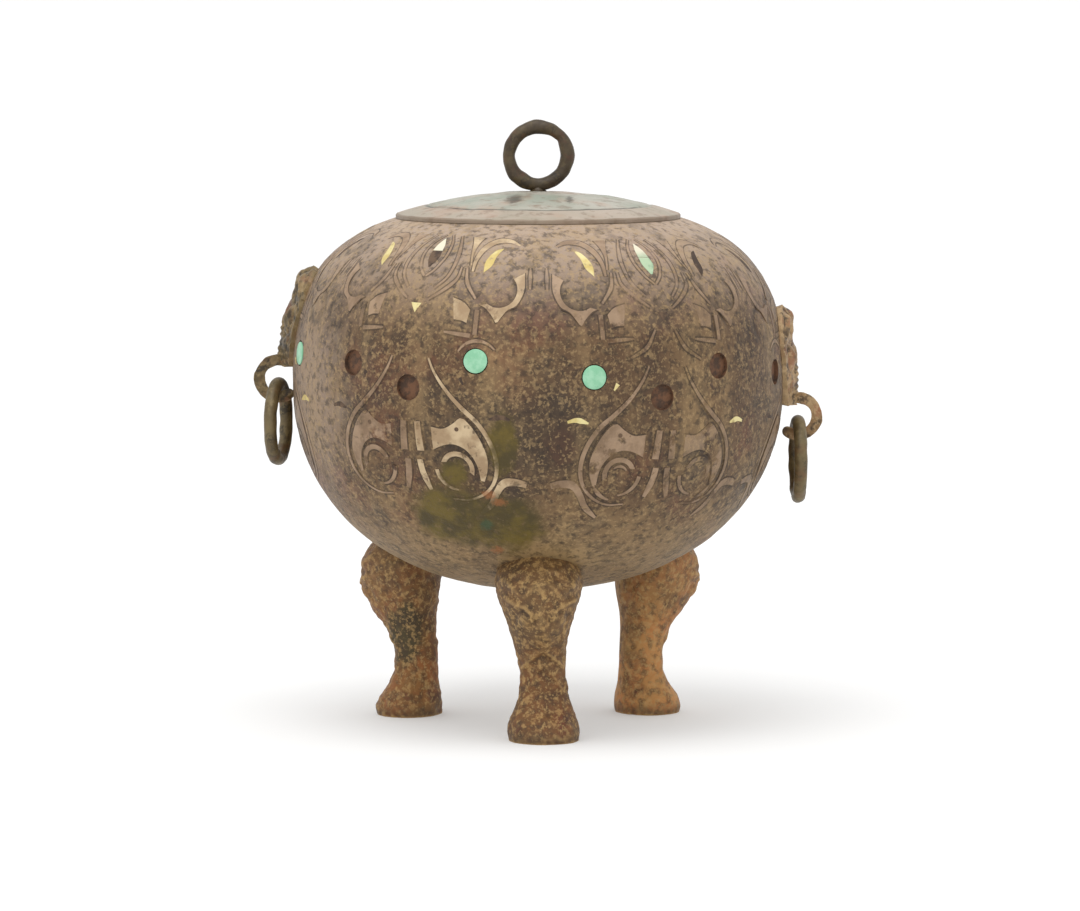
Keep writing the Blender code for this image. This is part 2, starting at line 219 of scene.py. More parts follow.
def ripple(points: np.ndarray, size: float, seed: int) -> np.ndarray:
    """Smooth unevenness, about -1 to 1, whose swells are one size apart.

    Args:
        points: places, one row each.
        size: distance between swells.
        seed: number that fixes the pattern.

    Returns:
        One value for each place.
    """
    waves = 16
    draw = np.random.default_rng(seed)
    directions = draw.normal(size=(waves, 3))
    directions /= np.linalg.norm(directions, axis=1)[:, None]
    lengths = size * draw.uniform(0.7, 1.5, waves)
    shifts = draw.uniform(0, 2 * math.pi, waves)
    phase = points @ (directions * (2 * math.pi / lengths)[:, None]).T + shifts
    return np.sin(phase).sum(axis=1) / math.sqrt(1.5 * waves)


def bump(distance: np.ndarray, width: float) -> np.ndarray:
    """A rounded ridge, 1 on its line and fading out a few widths away."""
    return np.exp(-((distance / width) ** 2))


def ease(value: np.ndarray, low: float, high: float) -> np.ndarray:
    """A smooth step from 0 at a low value to 1 at a high one."""
    share = np.clip((value - low) / (high - low), 0.0, 1.0)
    return share * share * (3 - 2 * share)


def smooth_line(line: Line, count: int) -> np.ndarray:
    """Even points along a smooth curve through a few given ones.

    Args:
        line: the given points.
        count: how many points to return.

    Returns:
        The points, one row each.
    """
    given = np.array(line, float)
    if len(given) == 2:
        share = np.linspace(0, 1, count)[:, None]
        return given[0] * (1 - share) + given[1] * share
    ends = (2 * given[0] - given[1], 2 * given[-1] - given[-2])
    knots = np.vstack([ends[0], given, ends[1]])
    fine = []
    for a, b, c, d in zip(knots, knots[1:], knots[2:], knots[3:]):
        t = np.linspace(0, 1, 24, endpoint=False)[:, None]
        fine.append(0.5 * (2 * b + (c - a) * t + (2 * a - 5 * b + 4 * c - d) * t ** 2
                           + (3 * b - a - 3 * c + d) * t ** 3))
    route = np.vstack(fine + [given[-1:]])
    way = np.concatenate([[0], np.cumsum(np.linalg.norm(np.diff(route, axis=0), axis=1))])
    even = np.linspace(0, way[-1], count)
    return np.stack([np.interp(even, way, route[:, i]) for i in range(2)], axis=1)


# Node materials

def srgb(red: float, green: float, blue: float) -> Colour:
    """A colour as seen on a screen, 0 to 255, in the linear values that shaders take."""
    def linear(value: float) -> float:
        """One channel."""
        share = value / 255
        return share / 12.92 if share < 0.04045 else ((share + 0.055) / 1.055) ** 2.4
    return linear(red), linear(green), linear(blue)


class NodeGraph:
    """Short ways to add and join shader nodes in one material, with its colour so far."""

    noise_scale = 0.6

    def __init__(self, name: str, colour: Colour = WHITE) -> None:
        """Start a material with its shader, its Object coordinates and its first colour."""
        self.material = bpy.data.materials.new(name)
        self.material.use_nodes = True
        self.tree = self.material.node_tree
        self.shader = self.tree.nodes["Principled BSDF"]
        self.place = self.add("ShaderNodeTexCoord").outputs["Object"]
        self.colour = colour

    def add(self, kind: str, **settings: object) -> bpy.types.Node:
        """Add a node and set its plain properties."""
        node = self.tree.nodes.new(kind)
        for name, value in settings.items():
            setattr(node, name, value)
        return node

    def feed(self, socket: Socket, value: object) -> None:
        """Link a socket to another one, or give it a plain value."""
        if isinstance(value, Socket):
            self.tree.links.new(value, socket)
        elif isinstance(value, tuple) and socket.type == "RGBA":
            socket.default_value = (*value, 1.0)
        else:
            socket.default_value = value

    def fed(self, node: bpy.types.Node, **values: object) -> bpy.types.Node:
        """Feed inputs of a node by name, an underscore standing for a space."""
        for name, value in values.items():
            self.feed(node.inputs[name.replace("_", " ")], value)
        return node

    def math(self, operation: str, *values: object) -> Socket:
        """Join numbers by an operation."""
        node = self.add("ShaderNodeMath", operation=operation)
        for socket, value in zip(node.inputs, values):
            self.feed(socket, value)
        return node.outputs[0]

    def vector(self, operation: str, *values: object) -> Socket:
        """Join places by an operation."""
        node = self.add("ShaderNodeVectorMath", operation=operation)
        for socket, value in zip(node.inputs, values):
            self.feed(socket, value)
        return node.outputs["Value" if operation == "LENGTH" else "Vector"]

    def both(self, first: object, second: object) -> Socket:
        """Multiply two masks."""
        return self.math("MULTIPLY", first, second)

    def noise(self, size: float, detail: float = 4.0, rough: float = 0.55,
              stretch: Triple = (1, 1, 1)) -> Socket:
        """Cloudy noise whose blotches are about one size, in metres."""
        node = self.fed(self.add("ShaderNodeTexNoise"), Vector=self.vector("MULTIPLY", self.place, stretch),
                        Scale=self.noise_scale / size, Detail=detail, Roughness=rough)
        return node.outputs["Fac"]

    def step(self, value: object, low: float, high: float) -> Socket:
        """A smooth step from 0 at a low value to 1 at a high one."""
        node = self.add("ShaderNodeMapRange", interpolation_type="SMOOTHSTEP")
        return self.fed(node, Value=value, From_Min=low, From_Max=high).outputs["Result"]

    def blotches(self, size: float, low: float, high: float, detail: float = 4.0,
                 rough: float = 0.6, stretch: Triple = (1, 1, 1)) -> Socket:
        """A mask of blotches, 0 below one noise value and 1 above another."""
        return self.step(self.noise(size, detail, rough, stretch), low, high)

    def radius(self) -> Socket:
        """Distance from the upright axis."""
        return self.vector("LENGTH", self.vector("MULTIPLY", self.place, (1, 1, 0)))

    def height(self) -> Socket:
        """Height above the floor."""
        return self.fed(self.add("ShaderNodeSeparateXYZ"), Vector=self.place).outputs["Z"]

    def pointed(self) -> Socket:
        """How sharply the surface bends, above one half on ridges and below it in hollows."""
        return self.add("ShaderNodeNewGeometry").outputs["Pointiness"]

    def mix(self, share: object, first: object, second: object) -> Socket:
        """Mix two colours by a share."""
        node = self.add("ShaderNodeMix", data_type="RGBA")
        for number, value in ((0, share), (6, first), (7, second)):
            self.feed(node.inputs[number], value)
        return node.outputs[2]

    def coat(self, over: object, mask: object, share: float = 1.0) -> None:
        """Lay a colour over the ones so far, by a share of a mask."""
        self.colour = self.mix(self.both(mask, share) if share < 1 else mask, self.colour, over)

    def speckle(self, over: Colour, size: float, low: float, high: float, detail: float = 4.0,
                share: float = 1.0) -> None:
        """Lay blotches of a colour over the ones so far.

        Args:
            over: the blotches' colour.
            size: size of a blotch, in metres.
            low: noise value below which there is none of it.
            high: noise value above which all of its share is there.
            detail: fineness of the blotches' edges.
            share: how strongly it covers, 0 to 1.
        """
        self.coat(over, self.blotches(size, low, high, detail), share)

    def near(self, centre: Triple, reach: Triple, ragged: float = 0.35, soft: float = 0.35) -> Socket:
        """A ragged patch round a place.

        Args:
            centre: middle of the patch.
            reach: half length of the patch along X, Y and Z.
            ragged: how far noise moves the patch's edge, as a share of its reach.
            soft: width of the edge, as a share of its reach.

        Returns:
            A mask, 1 in the patch.
        """
        offset = self.vector("SUBTRACT", self.place, centre)
        length = self.vector("LENGTH", self.vector("DIVIDE", offset, reach))
        wobble = self.math("SUBTRACT", self.noise(0.35 * min(reach), 5, 0.6), 0.5)
        edge = self.math("ADD", length, self.both(wobble, 2 * ragged))
        return self.step(edge, 1.0, 1.0 - soft)

    def finish(self, rough: object, metallic: float = 0.0, height: Socket | None = None,
               depth: float = 0.0002, strength: float = 0.5) -> bpy.types.Material:
        """Feed the shader with the colour so far and the rest.

        Args:
            rough: roughness.
            metallic: metallic value, the same all over.
            height: relief of the surface, if it has any.
            depth: depth of that relief, in metres.
            strength: how strongly it shows.

        Returns:
            The finished material.
        """
        self.fed(self.shader, Base_Color=self.colour, Roughness=rough, Metallic=metallic)
        if height is not None:
            relief = self.fed(self.add("ShaderNodeBump"), Distance=depth, Strength=strength, Height=height)
            self.fed(self.shader, Normal=relief.outputs["Normal"])
        return self.material


# Finishes

@dataclass(frozen=True)
class WallPatina:
    """Mottled brown patina, green where copper salts came out, paler on the shoulder with dust and painted
    top light, with a painted sheen on the left side and painted shade on the middle of the front.
    """

    name: str = "bowl brown patina"
    brown: Colour = srgb(74, 50, 26)
    tan: Colour = srgb(104, 78, 47)
    dark: Colour = srgb(39, 26, 12)
    dust: Colour = srgb(163, 135, 92)
    rust: Colour = srgb(100, 54, 30)
    slate: Colour = srgb(71, 60, 45)
    # Pale grey of dust, also used for the painted top light on the shoulder and the painted sheen on the
    # left side
    grey: Colour = srgb(193, 171, 151)
    green: Colour = srgb(64, 51, 3)
    pale_green: Colour = srgb(94, 77, 10)
    emerald: Colour = srgb(34, 70, 44)
    orange: Colour = srgb(146, 88, 42)
    # Heights over which the shoulder pales towards the lid, by dust and by painted top light
    shoulder: Span = (0.112, 0.149)
    foot: Span = (0.074, 0.048)
    green_patches: tuple[tuple[Triple, Triple], ...] = (
        ((-0.0240, -0.0570, 0.0640), (0.0150, 0.0300, 0.0118)),
        ((-0.0085, -0.0600, 0.0625), (0.0125, 0.0300, 0.0108)),
        ((-0.0096, -0.0670, 0.0855), (0.0048, 0.0200, 0.0105)),
        ((-0.0233, -0.0640, 0.0772), (0.0048, 0.0200, 0.0052)))
    orange_spots: tuple[Triple, ...] = (
        (-0.0136, -0.0625, 0.0712), (-0.0113, -0.0540, 0.0545), (-0.0108, -0.0630, 0.0690))

    def base(self, graph: NodeGraph) -> None:
        """Brown and tan clouds, slate and rust blotches, dust in fine speckles, painted shade on the front,
        painted top light on the shoulder and a painted sheen on the left.
        """
        graph.colour = self.brown
        graph.speckle(self.tan, 0.014, 0.34, 0.66, 8)
        graph.speckle(self.slate, 0.011, 0.52, 0.66, 6, 0.5)
        graph.speckle(self.rust, 0.017, 0.53, 0.68, 7, 0.6)
        # Painted shade: the middle of the front darker than the sides
        graph.coat(self.dark, graph.near((-0.004, -0.069, 0.089), (0.038, 0.040, 0.018), 0.5, 0.7), 0.60)
        # Painted top light mixed with dust: the shoulder paler towards the lid
        graph.coat(self.grey, graph.step(graph.height(), *self.shoulder), 0.68)
        # Painted sheen: a grey patch on the left side standing for the reflection of the white surroundings
        graph.coat(self.grey, graph.near((-0.064, -0.030, 0.095), (0.020, 0.040, 0.042), 0.5, 0.8), 0.30)
        graph.coat(self.dust, graph.step(graph.height(), *self.foot), 0.38)
        graph.coat(self.dust, graph.near((0.0035, -0.052, 0.052), (0.0165, 0.030, 0.008), 0.7, 0.6), 0.45)
        graph.coat(self.dust, graph.blotches(0.0050, 0.48, 0.66, 5, stretch=(1, 1, 0.10)), 0.30)
        graph.speckle(self.dark, 0.0060, 0.50, 0.64, 5, 0.38)
        graph.speckle(self.dark, 0.0013, 0.48, 0.64, 5, 0.62)
        cloud = graph.step(graph.noise(0.012), 0.30, 0.66)
        graph.coat(self.dust, graph.both(graph.blotches(0.0010, 0.50, 0.64, 4), cloud), 0.54)
        graph.speckle(self.dust, 0.0006, 0.54, 0.66, 2, 0.44)

    def stains(self, graph: NodeGraph, share: float = 1.0) -> None:
        """The green patch low on the front, with its emerald and orange spots."""
        green = graph.mix(graph.blotches(0.005, 0.4, 0.65), self.green, self.pale_green)
        bare = graph.both(graph.blotches(0.0014, 0.54, 0.66, 5), 0.40)
        mottled = graph.math("SUBTRACT", 1.0, bare)
        for centre, reach in self.green_patches:
            graph.coat(green, graph.both(graph.near(centre, reach, 0.45, 0.45), mottled), share)
        emerald = graph.near((-0.0142, -0.0595, 0.0622), (0.0024, 0.0200, 0.0022), 0.6, 0.6)
        graph.coat(self.emerald, emerald, 0.6)
        for centre in self.orange_spots:
            graph.coat(self.orange, graph.near(centre, (0.0026, 0.0200, 0.0015), 0.9, 0.6), 0.6)

    def build(self) -> bpy.types.Material:
        """Make the material."""
        graph = NodeGraph(self.name)
        self.base(graph)
        self.stains(graph)
        sunk = graph.add("ShaderNodeAttribute", attribute_name="groove").outputs["Fac"]
        graph.coat(self.dark, sunk, 0.72)
        crust = graph.noise(0.0013, 6, 0.65)
        return graph.finish(graph.math("MULTIPLY_ADD", crust, 0.25, 0.46), 0.08, crust, 0.00045, 0.75)


@dataclass(frozen=True)
class Speckled:
    """A finish of one colour with blotches of a second one over it.

    The blotches are given by size, low and high noise value and detail, and the grain of the
    surface by size and detail.
    """

    name: str
    ground: Colour
    spots: Colour
    blotch: tuple[float, float, float, float]
    rough: float
    grain: tuple[float, float]
    depth: float
    strength: float

    def build(self) -> bpy.types.Material:
        """Make the material."""
        graph = NodeGraph(self.name, self.ground)
        graph.speckle(self.spots, *self.blotch)
        return graph.finish(self.rough, 0.0, graph.noise(*self.grain), self.depth, self.strength)


SETTING_CRUST = Speckled("setting crust", srgb(104, 70, 46), srgb(66, 46, 32),
                         (0.0016, 0.40, 0.62, 4), 0.8, (0.0010, 5), 0.0004, 0.7)
EMPTY_BED = Speckled("empty inlay bed", srgb(58, 42, 30), srgb(96, 74, 54),
                     (0.0018, 0.42, 0.62, 6), 0.75, (0.001, 4), 0.0003, 0.6)
TURQUOISE = Speckled("turquoise", srgb(124, 182, 145), srgb(148, 197, 164),
                     (0.0018, 0.40, 0.66, 4), 0.38, (0.0010, 3), 0.00008, 0.25)


@dataclass(frozen=True)
class InlayMetal:
    """Pale inlay, worn back to the wall's own patina where corrosion has come over it."""

    name: str
    bright: Colour
    dull: Colour
    lost: float
    veil: float
    metallic: float = 0.1

    def build(self) -> bpy.types.Material:
        """Make the material."""
        graph = NodeGraph(self.name)
        wall = WallPatina()
        metal = graph.mix(graph.blotches(0.0040, 0.35, 0.65), self.bright, self.dull)
        gone = graph.blotches(0.0050, self.lost, self.lost + 0.12, 8, 0.62)
        pits = graph.both(graph.blotches(0.0016, 0.54, 0.66, 4), 0.75)
        hidden = graph.math("MAXIMUM", graph.math("MAXIMUM", gone, pits), self.veil)
        wall.base(graph)
        graph.colour = graph.mix(hidden, metal, graph.colour)
        wall.stains(graph, 0.9)
        return graph.finish(0.55, self.metallic, graph.noise(0.0014, 5), 0.0003, 0.5)


@dataclass(frozen=True)
class InlaySeamShade:
    """Dark line along the edges of the inlay: a painted shadow of the gap at its edge, and corrosion."""

    name: str = "inlay seam shade"
    share: float = 0.62

    def build(self) -> bpy.types.Material:
        """Make the material."""
        graph = NodeGraph(self.name)
        wall = WallPatina()
        wall.base(graph)
        # Painted shadow of the inlay's edge, mixed with dark corrosion
        graph.coat(wall.dark, graph.step(graph.noise(0.006, 5), 0.30, 0.52), self.share)
        wall.stains(graph)
        return graph.finish(0.7, 0.0, graph.noise(0.0013, 5), 0.0003, 0.6)


@dataclass(frozen=True)
class LeafStone:
    """Malachite leaves, creamy at the top and green below."""

    name: str = "malachite leaf"
    cream: Colour = srgb(214, 208, 184)
    green: Colour = srgb(166, 188, 154)
    deep: Colour = srgb(122, 152, 122)
    cream_height: float = 0.1378
    green_height: float = 0.1348

    def build(self) -> bpy.types.Material:
        """Make the material."""
        graph = NodeGraph(self.name, self.cream)
        veins = graph.mix(graph.blotches(0.002, 0.45, 0.7), self.green, self.deep)
        graph.coat(veins, graph.step(graph.height(), self.cream_height, self.green_height))
        return graph.finish(0.42, 0.0, graph.noise(0.002, 3), 0.00015, 0.3)


@dataclass(frozen=True)
class LidPatina:
    """Grey-green bloom of the lid, with dark blots round the foot of its ring."""

    name: str = "lid grey patina"
    grey: Colour = srgb(168, 164, 151)
    sage: Colour = srgb(138, 144, 128)
    pink: Colour = srgb(172, 144, 124)
    brown: Colour = srgb(112, 92, 72)
    dark: Colour = srgb(52, 42, 32)
    line_radius: float = 0.0318
    line_width: float = 0.0007
    brim_width: float = 0.001
    edge: Span = (0.0396, 0.0403)
    blots: tuple[tuple[Triple, Triple], ...] = (
        ((-0.0068, -0.0170, 0.1500), (0.0036, 0.0105, 0.0080)),
        ((0.0088, -0.0180, 0.1500), (0.0016, 0.0070, 0.0080)),
        ((0.0020, 0.0140, 0.1510), (0.0032, 0.0050, 0.0060)))

    def build(self) -> bpy.types.Material:
        """Make the material."""
        graph = NodeGraph(self.name, self.grey)
        graph.speckle(self.sage, 0.014, 0.40, 0.62, 7)
        graph.speckle(self.pink, 0.010, 0.48, 0.68, 8, 0.75)
        graph.speckle(self.brown, 0.005, 0.56, 0.70, 8, 0.70)
        for centre, reach in self.blots:
            graph.coat(self.dark, graph.near(centre, reach, 1.0, 0.8), 0.75)
        radius = graph.radius()
        away = graph.math("ABSOLUTE", graph.math("SUBTRACT", radius, self.line_radius))
        line = graph.step(away, self.line_width, 0.3 * self.line_width)
        graph.coat(self.dark, graph.both(line, graph.step(graph.noise(0.012), 0.35, 0.55)), 0.75)
        brim = graph.step(radius, self.line_radius, self.line_radius + self.brim_width)
        graph.coat(self.pink, brim, 0.45)
        graph.speckle(self.brown, 0.0022, 0.52, 0.64, 6, 0.5)
        graph.coat(self.brown, graph.step(radius, *self.edge), 0.70)
        return graph.finish(0.5, 0.12, graph.noise(0.0014, 6, 0.6), 0.00025, 0.45)


@dataclass(frozen=True)
class HandledBronze:
    """Darker bronze of rings, loops and masks, rubbed bare on the high places, with painted shade in the
    hollows of the carving.
    """

    name: str
    body: Colour
    light: Colour
    rust: Colour
    # Colour of dark spots, also used as painted shade in the carving's hollows
    dark_spots_and_shade: Colour
    rubbed: float = 0.5
    rusted: float = 0.45
    grain: float = 1.0
    # Share of painted shade that darkens the hollows of the carving
    sunk: float = 0.7

    def build(self) -> bpy.types.Material:
        """Make the material."""
        graph = NodeGraph(self.name, self.body)
        grain = self.grain
        graph.speckle(self.light, 0.0040 * grain, 0.36, 0.66, 7)
        graph.speckle(self.rust, 0.0030 * grain, 0.50, 0.66, 6, self.rusted)
        graph.speckle(self.dark_spots_and_shade, 0.0020 * grain, 0.48, 0.60, 6, 0.85)
        graph.speckle(self.light, 0.0010, 0.52, 0.64, 4, 0.6)
        # Painted shade: the hollows of the carving darkened
        graph.coat(self.dark_spots_and_shade, graph.step(graph.pointed(), 0.49, 0.45), self.sunk)
        graph.coat(self.light, graph.step(graph.pointed(), 0.50, 0.56), self.rubbed)
        return graph.finish(0.5, 0.2, graph.noise(0.0012, 6, 0.6), 0.0003, 0.5)


@dataclass(frozen=True)
class LegPatina:
    """Ochre and rust earth on a leg, dark in the carving, mottled like dry clay."""

    name: str
    ochre: Colour
    orange: Colour
    dark: Colour = srgb(56, 39, 20)
    pale: Colour = srgb(180, 145, 90)
    bowl: Colour = srgb(95, 71, 38)
    green: Colour = srgb(52, 50, 22)
    red: Colour = srgb(96, 46, 24)
    green_place: Triple | None = None
    green_reach: Triple = (0.0072, 0.0120, 0.0125)
    knee: Span = (0.018, 0.040)
    hoof: Span = (0.022, 0.006)
    sole: Span = (0.0045, 0.0005)

    def build(self) -> bpy.types.Material:
        """Make the material."""
        graph = NodeGraph(self.name, self.ochre)
        height = graph.height()
        graph.speckle(self.orange, 0.007, 0.38, 0.62, 7)
        graph.coat(self.bowl, graph.step(height, *self.knee), 0.50)
        reddish = graph.both(graph.blotches(0.0050, 0.50, 0.64, 5), graph.step(height, *self.hoof))
        graph.coat(self.red, reddish, 0.75)
        if self.green_place:
            graph.coat(self.green, graph.near(self.green_place, self.green_reach, 0.8, 0.5), 0.88)
        graph.speckle(self.dark, 0.0045, 0.47, 0.62, 6, 0.50)
        graph.speckle(self.dark, 0.0012, 0.46, 0.62, 5, 0.64)
        graph.speckle(self.pale, 0.0010, 0.50, 0.64, 4, 0.50)
        graph.speckle(self.pale, 0.0006, 0.53, 0.66, 2, 0.50)
        graph.coat(self.dark, graph.step(height, *self.sole), 0.60)
        graph.coat(self.pale, graph.step(graph.pointed(), 0.505, 0.56), 0.6)
        graph.coat(self.dark, graph.step(graph.pointed(), 0.49, 0.44), 0.75)
        return graph.finish(0.66, 0.03, graph.noise(0.0014, 6, 0.62), 0.0006, 0.8)


# The bowl's form, which everything else on it follows

@dataclass(frozen=True)
class BowlShape:
    """Outline of the bowl: two flattened quarter rounds that meet at its widest."""

    radius: float = 0.0698
    equator: float = 0.0981
    shoulder_rise: float = 0.0503
    belly_drop: float = 0.0594
    shoulder_power: float = 2.81
    belly_power: float = 2.18
    wall: float = 0.0028
    mouth_radius: float = 0.0360
    seat_radius: float = 0.0409

    def outline(self, turn: np.ndarray, inset: float = 0.0) -> tuple[np.ndarray, np.ndarray]:
        """Radius and height of the outline at turns from -90 degrees (base) to 90 (top)."""
        turn = np.asarray(turn, float)
        above = turn >= 0
        power = np.where(above, self.shoulder_power, self.belly_power)
        rise = np.where(above, self.shoulder_rise, self.belly_drop) - inset
        radius = (self.radius - inset) * np.maximum(np.cos(turn), 0.0) ** (2 / power)
        height = rise * np.abs(np.sin(turn)) ** (2 / power) * np.where(above, 1, -1)
        return radius, self.equator + height

    def shoulder_turn(self, radius: float, inset: float = 0.0) -> float:
        """Turn at which the shoulder has this radius."""
        return math.acos((radius / (self.radius - inset)) ** (self.shoulder_power / 2))

    def radius_at(self, height: np.ndarray) -> np.ndarray:
        """Radius of the outside at heights."""
        height = np.asarray(height, float)
        above = height >= self.equator
        power = np.where(above, self.shoulder_power, self.belly_power)
        reach = np.where(above, self.shoulder_rise, self.belly_drop)
        share = np.minimum(np.abs(height - self.equator) / reach, 1.0) ** power
        return self.radius * (1 - share) ** (1 / power)

    def belly_height(self, radius: np.ndarray, inset: float = 0.0) -> np.ndarray:
        """Height of the underside at radii."""
        share = np.minimum(np.asarray(radius, float) / (self.radius - inset), 1.0)
        drop = (1 - share ** self.belly_power) ** (1 / self.belly_power)
        return self.equator - (self.belly_drop - inset) * drop

    @property
    def seat_height(self) -> float:
        """Height of the flat round seat that the lid lies on."""
        return float(self.outline(self.shoulder_turn(self.seat_radius))[1])

    @cached_property
    def meridian(self) -> np.ndarray:
        """Rows of way up from the equator, radius, height and outward slope, base to top."""
        radius, height = self.outline(np.linspace(-QUARTER, QUARTER, 8001))
        steps = np.hypot(np.diff(radius), np.diff(height))
        way = np.concatenate([[0], np.cumsum(steps)])
        way -= way[len(way) // 2]
        rise, run = np.gradient(height, way), np.gradient(radius, way)
        return np.stack([way, radius, height, rise, -run])

    def on_wall(self, angle: np.ndarray, way: np.ndarray, lift: np.ndarray) -> np.ndarray:
        """Places on the outside.

        Args:
            angle: turn to the right of the front, in radians.
            way: way up the wall from the equator, in metres.
            lift: height above the wall.

        Returns:
            The places, one row each.
        """
        table = self.meridian
        radius, height, out, up = (np.interp(way, table[0], table[i]) for i in range(1, 5))
        reach = radius + out * lift
        return np.stack([reach * np.sin(angle), -reach * np.cos(angle), height + up * lift], axis=-1)

    def where(self, points: np.ndarray) -> tuple[np.ndarray, np.ndarray]:
        """Angle to the right of the front and way up the wall of places on the outside."""
        angle = np.arctan2(points[:, 0], -points[:, 1])
        table = self.meridian
        turn = np.arctan2((points[:, 2] - self.equator) / self.shoulder_rise,
                          np.hypot(points[:, 0], points[:, 1]) / self.radius)
        guide = np.arctan2((table[2] - self.equator) / self.shoulder_rise, table[1] / self.radius)
        return angle, np.interp(turn, guide, table[0])

    def unevenness(self, points: np.ndarray) -> np.ndarray:
        """Lift of the hand-finished, corroded wall above its true form."""
        return 0.00007 * ripple(points, 0.016, 3) + 0.00003 * ripple(points, 0.0045, 4)


# Inlay on the wall

class Metal(Enum):
    """What an inlaid strip is made of, or the empty bed of a lost one."""

    SILVER = "silver"
    GOLD = "gold"
    MALACHITE = "malachite"
    BED = "bed"
    # Dark strip beside the inlay's edges: painted shadow of its edge, and corrosion
    SEAM = "seam"


class Wear(Enum):
    """How much of the pale inlay still shows."""

    BRIGHT = "bright"
    WORN = "worn"
    FAINT = "faint"

    @property
    def fainter(self) -> Wear:
        """The next fainter state."""
        return Wear.WORN if self is Wear.BRIGHT else Wear.FAINT


@dataclass(frozen=True)
class Band:
    """A strip between two edges, in degrees from its motif's axis and mm above the equator."""

    name: str
    metal: Metal
    near: Line
    far: Line
    mirrored: bool = True
    steps: int = 20
    across: int = 3
    is_line: bool = False
    faded: bool = False


def stroke(name: str, line: Line, widths: Line, metal: Metal = Metal.SILVER,
           mirrored: bool = True, steps: int = 24) -> Band:
    """A strip that follows a line.

    Args:
        name: name of the strip.
        line: points of the line, in degrees and mm.
        widths: share of the way along, and width there in mm.
        metal: what it is made of.
        mirrored: whether the motif's other half has it too.
        steps: faces along it.

    Returns:
        The strip.
    """
    per_degree = math.radians(1) * BowlShape.radius / MM
    route = smooth_line(line, 2 * steps)
    scaled = route * (per_degree, 1)
    along = np.gradient(scaled, axis=0)
    along /= np.linalg.norm(along, axis=1)[:, None]
    share, width = np.array(widths, float).T
    half = np.interp(np.linspace(0, 1, len(route)), share, width)[:, None] / 2
    side = np.stack([-along[:, 1], along[:, 0]], axis=1) * half / (per_degree, 1)
    near = [tuple(point) for point in route + side]
    far = [tuple(point) for point in route - side]
    return Band(name, metal, near, far, mirrored, steps, is_line=True)


def arc(centre: Span, radius: float, start: float, end: float) -> list:
    """Points of a round arc on the wall, its centre in degrees and mm and its radius in mm."""
    per_degree = math.radians(1) * BowlShape.radius / MM
    turns = np.radians(np.linspace(start, end, 9))
    return [(centre[0] + radius * math.cos(t) / per_degree, centre[1] + radius * math.sin(t))
            for t in turns]


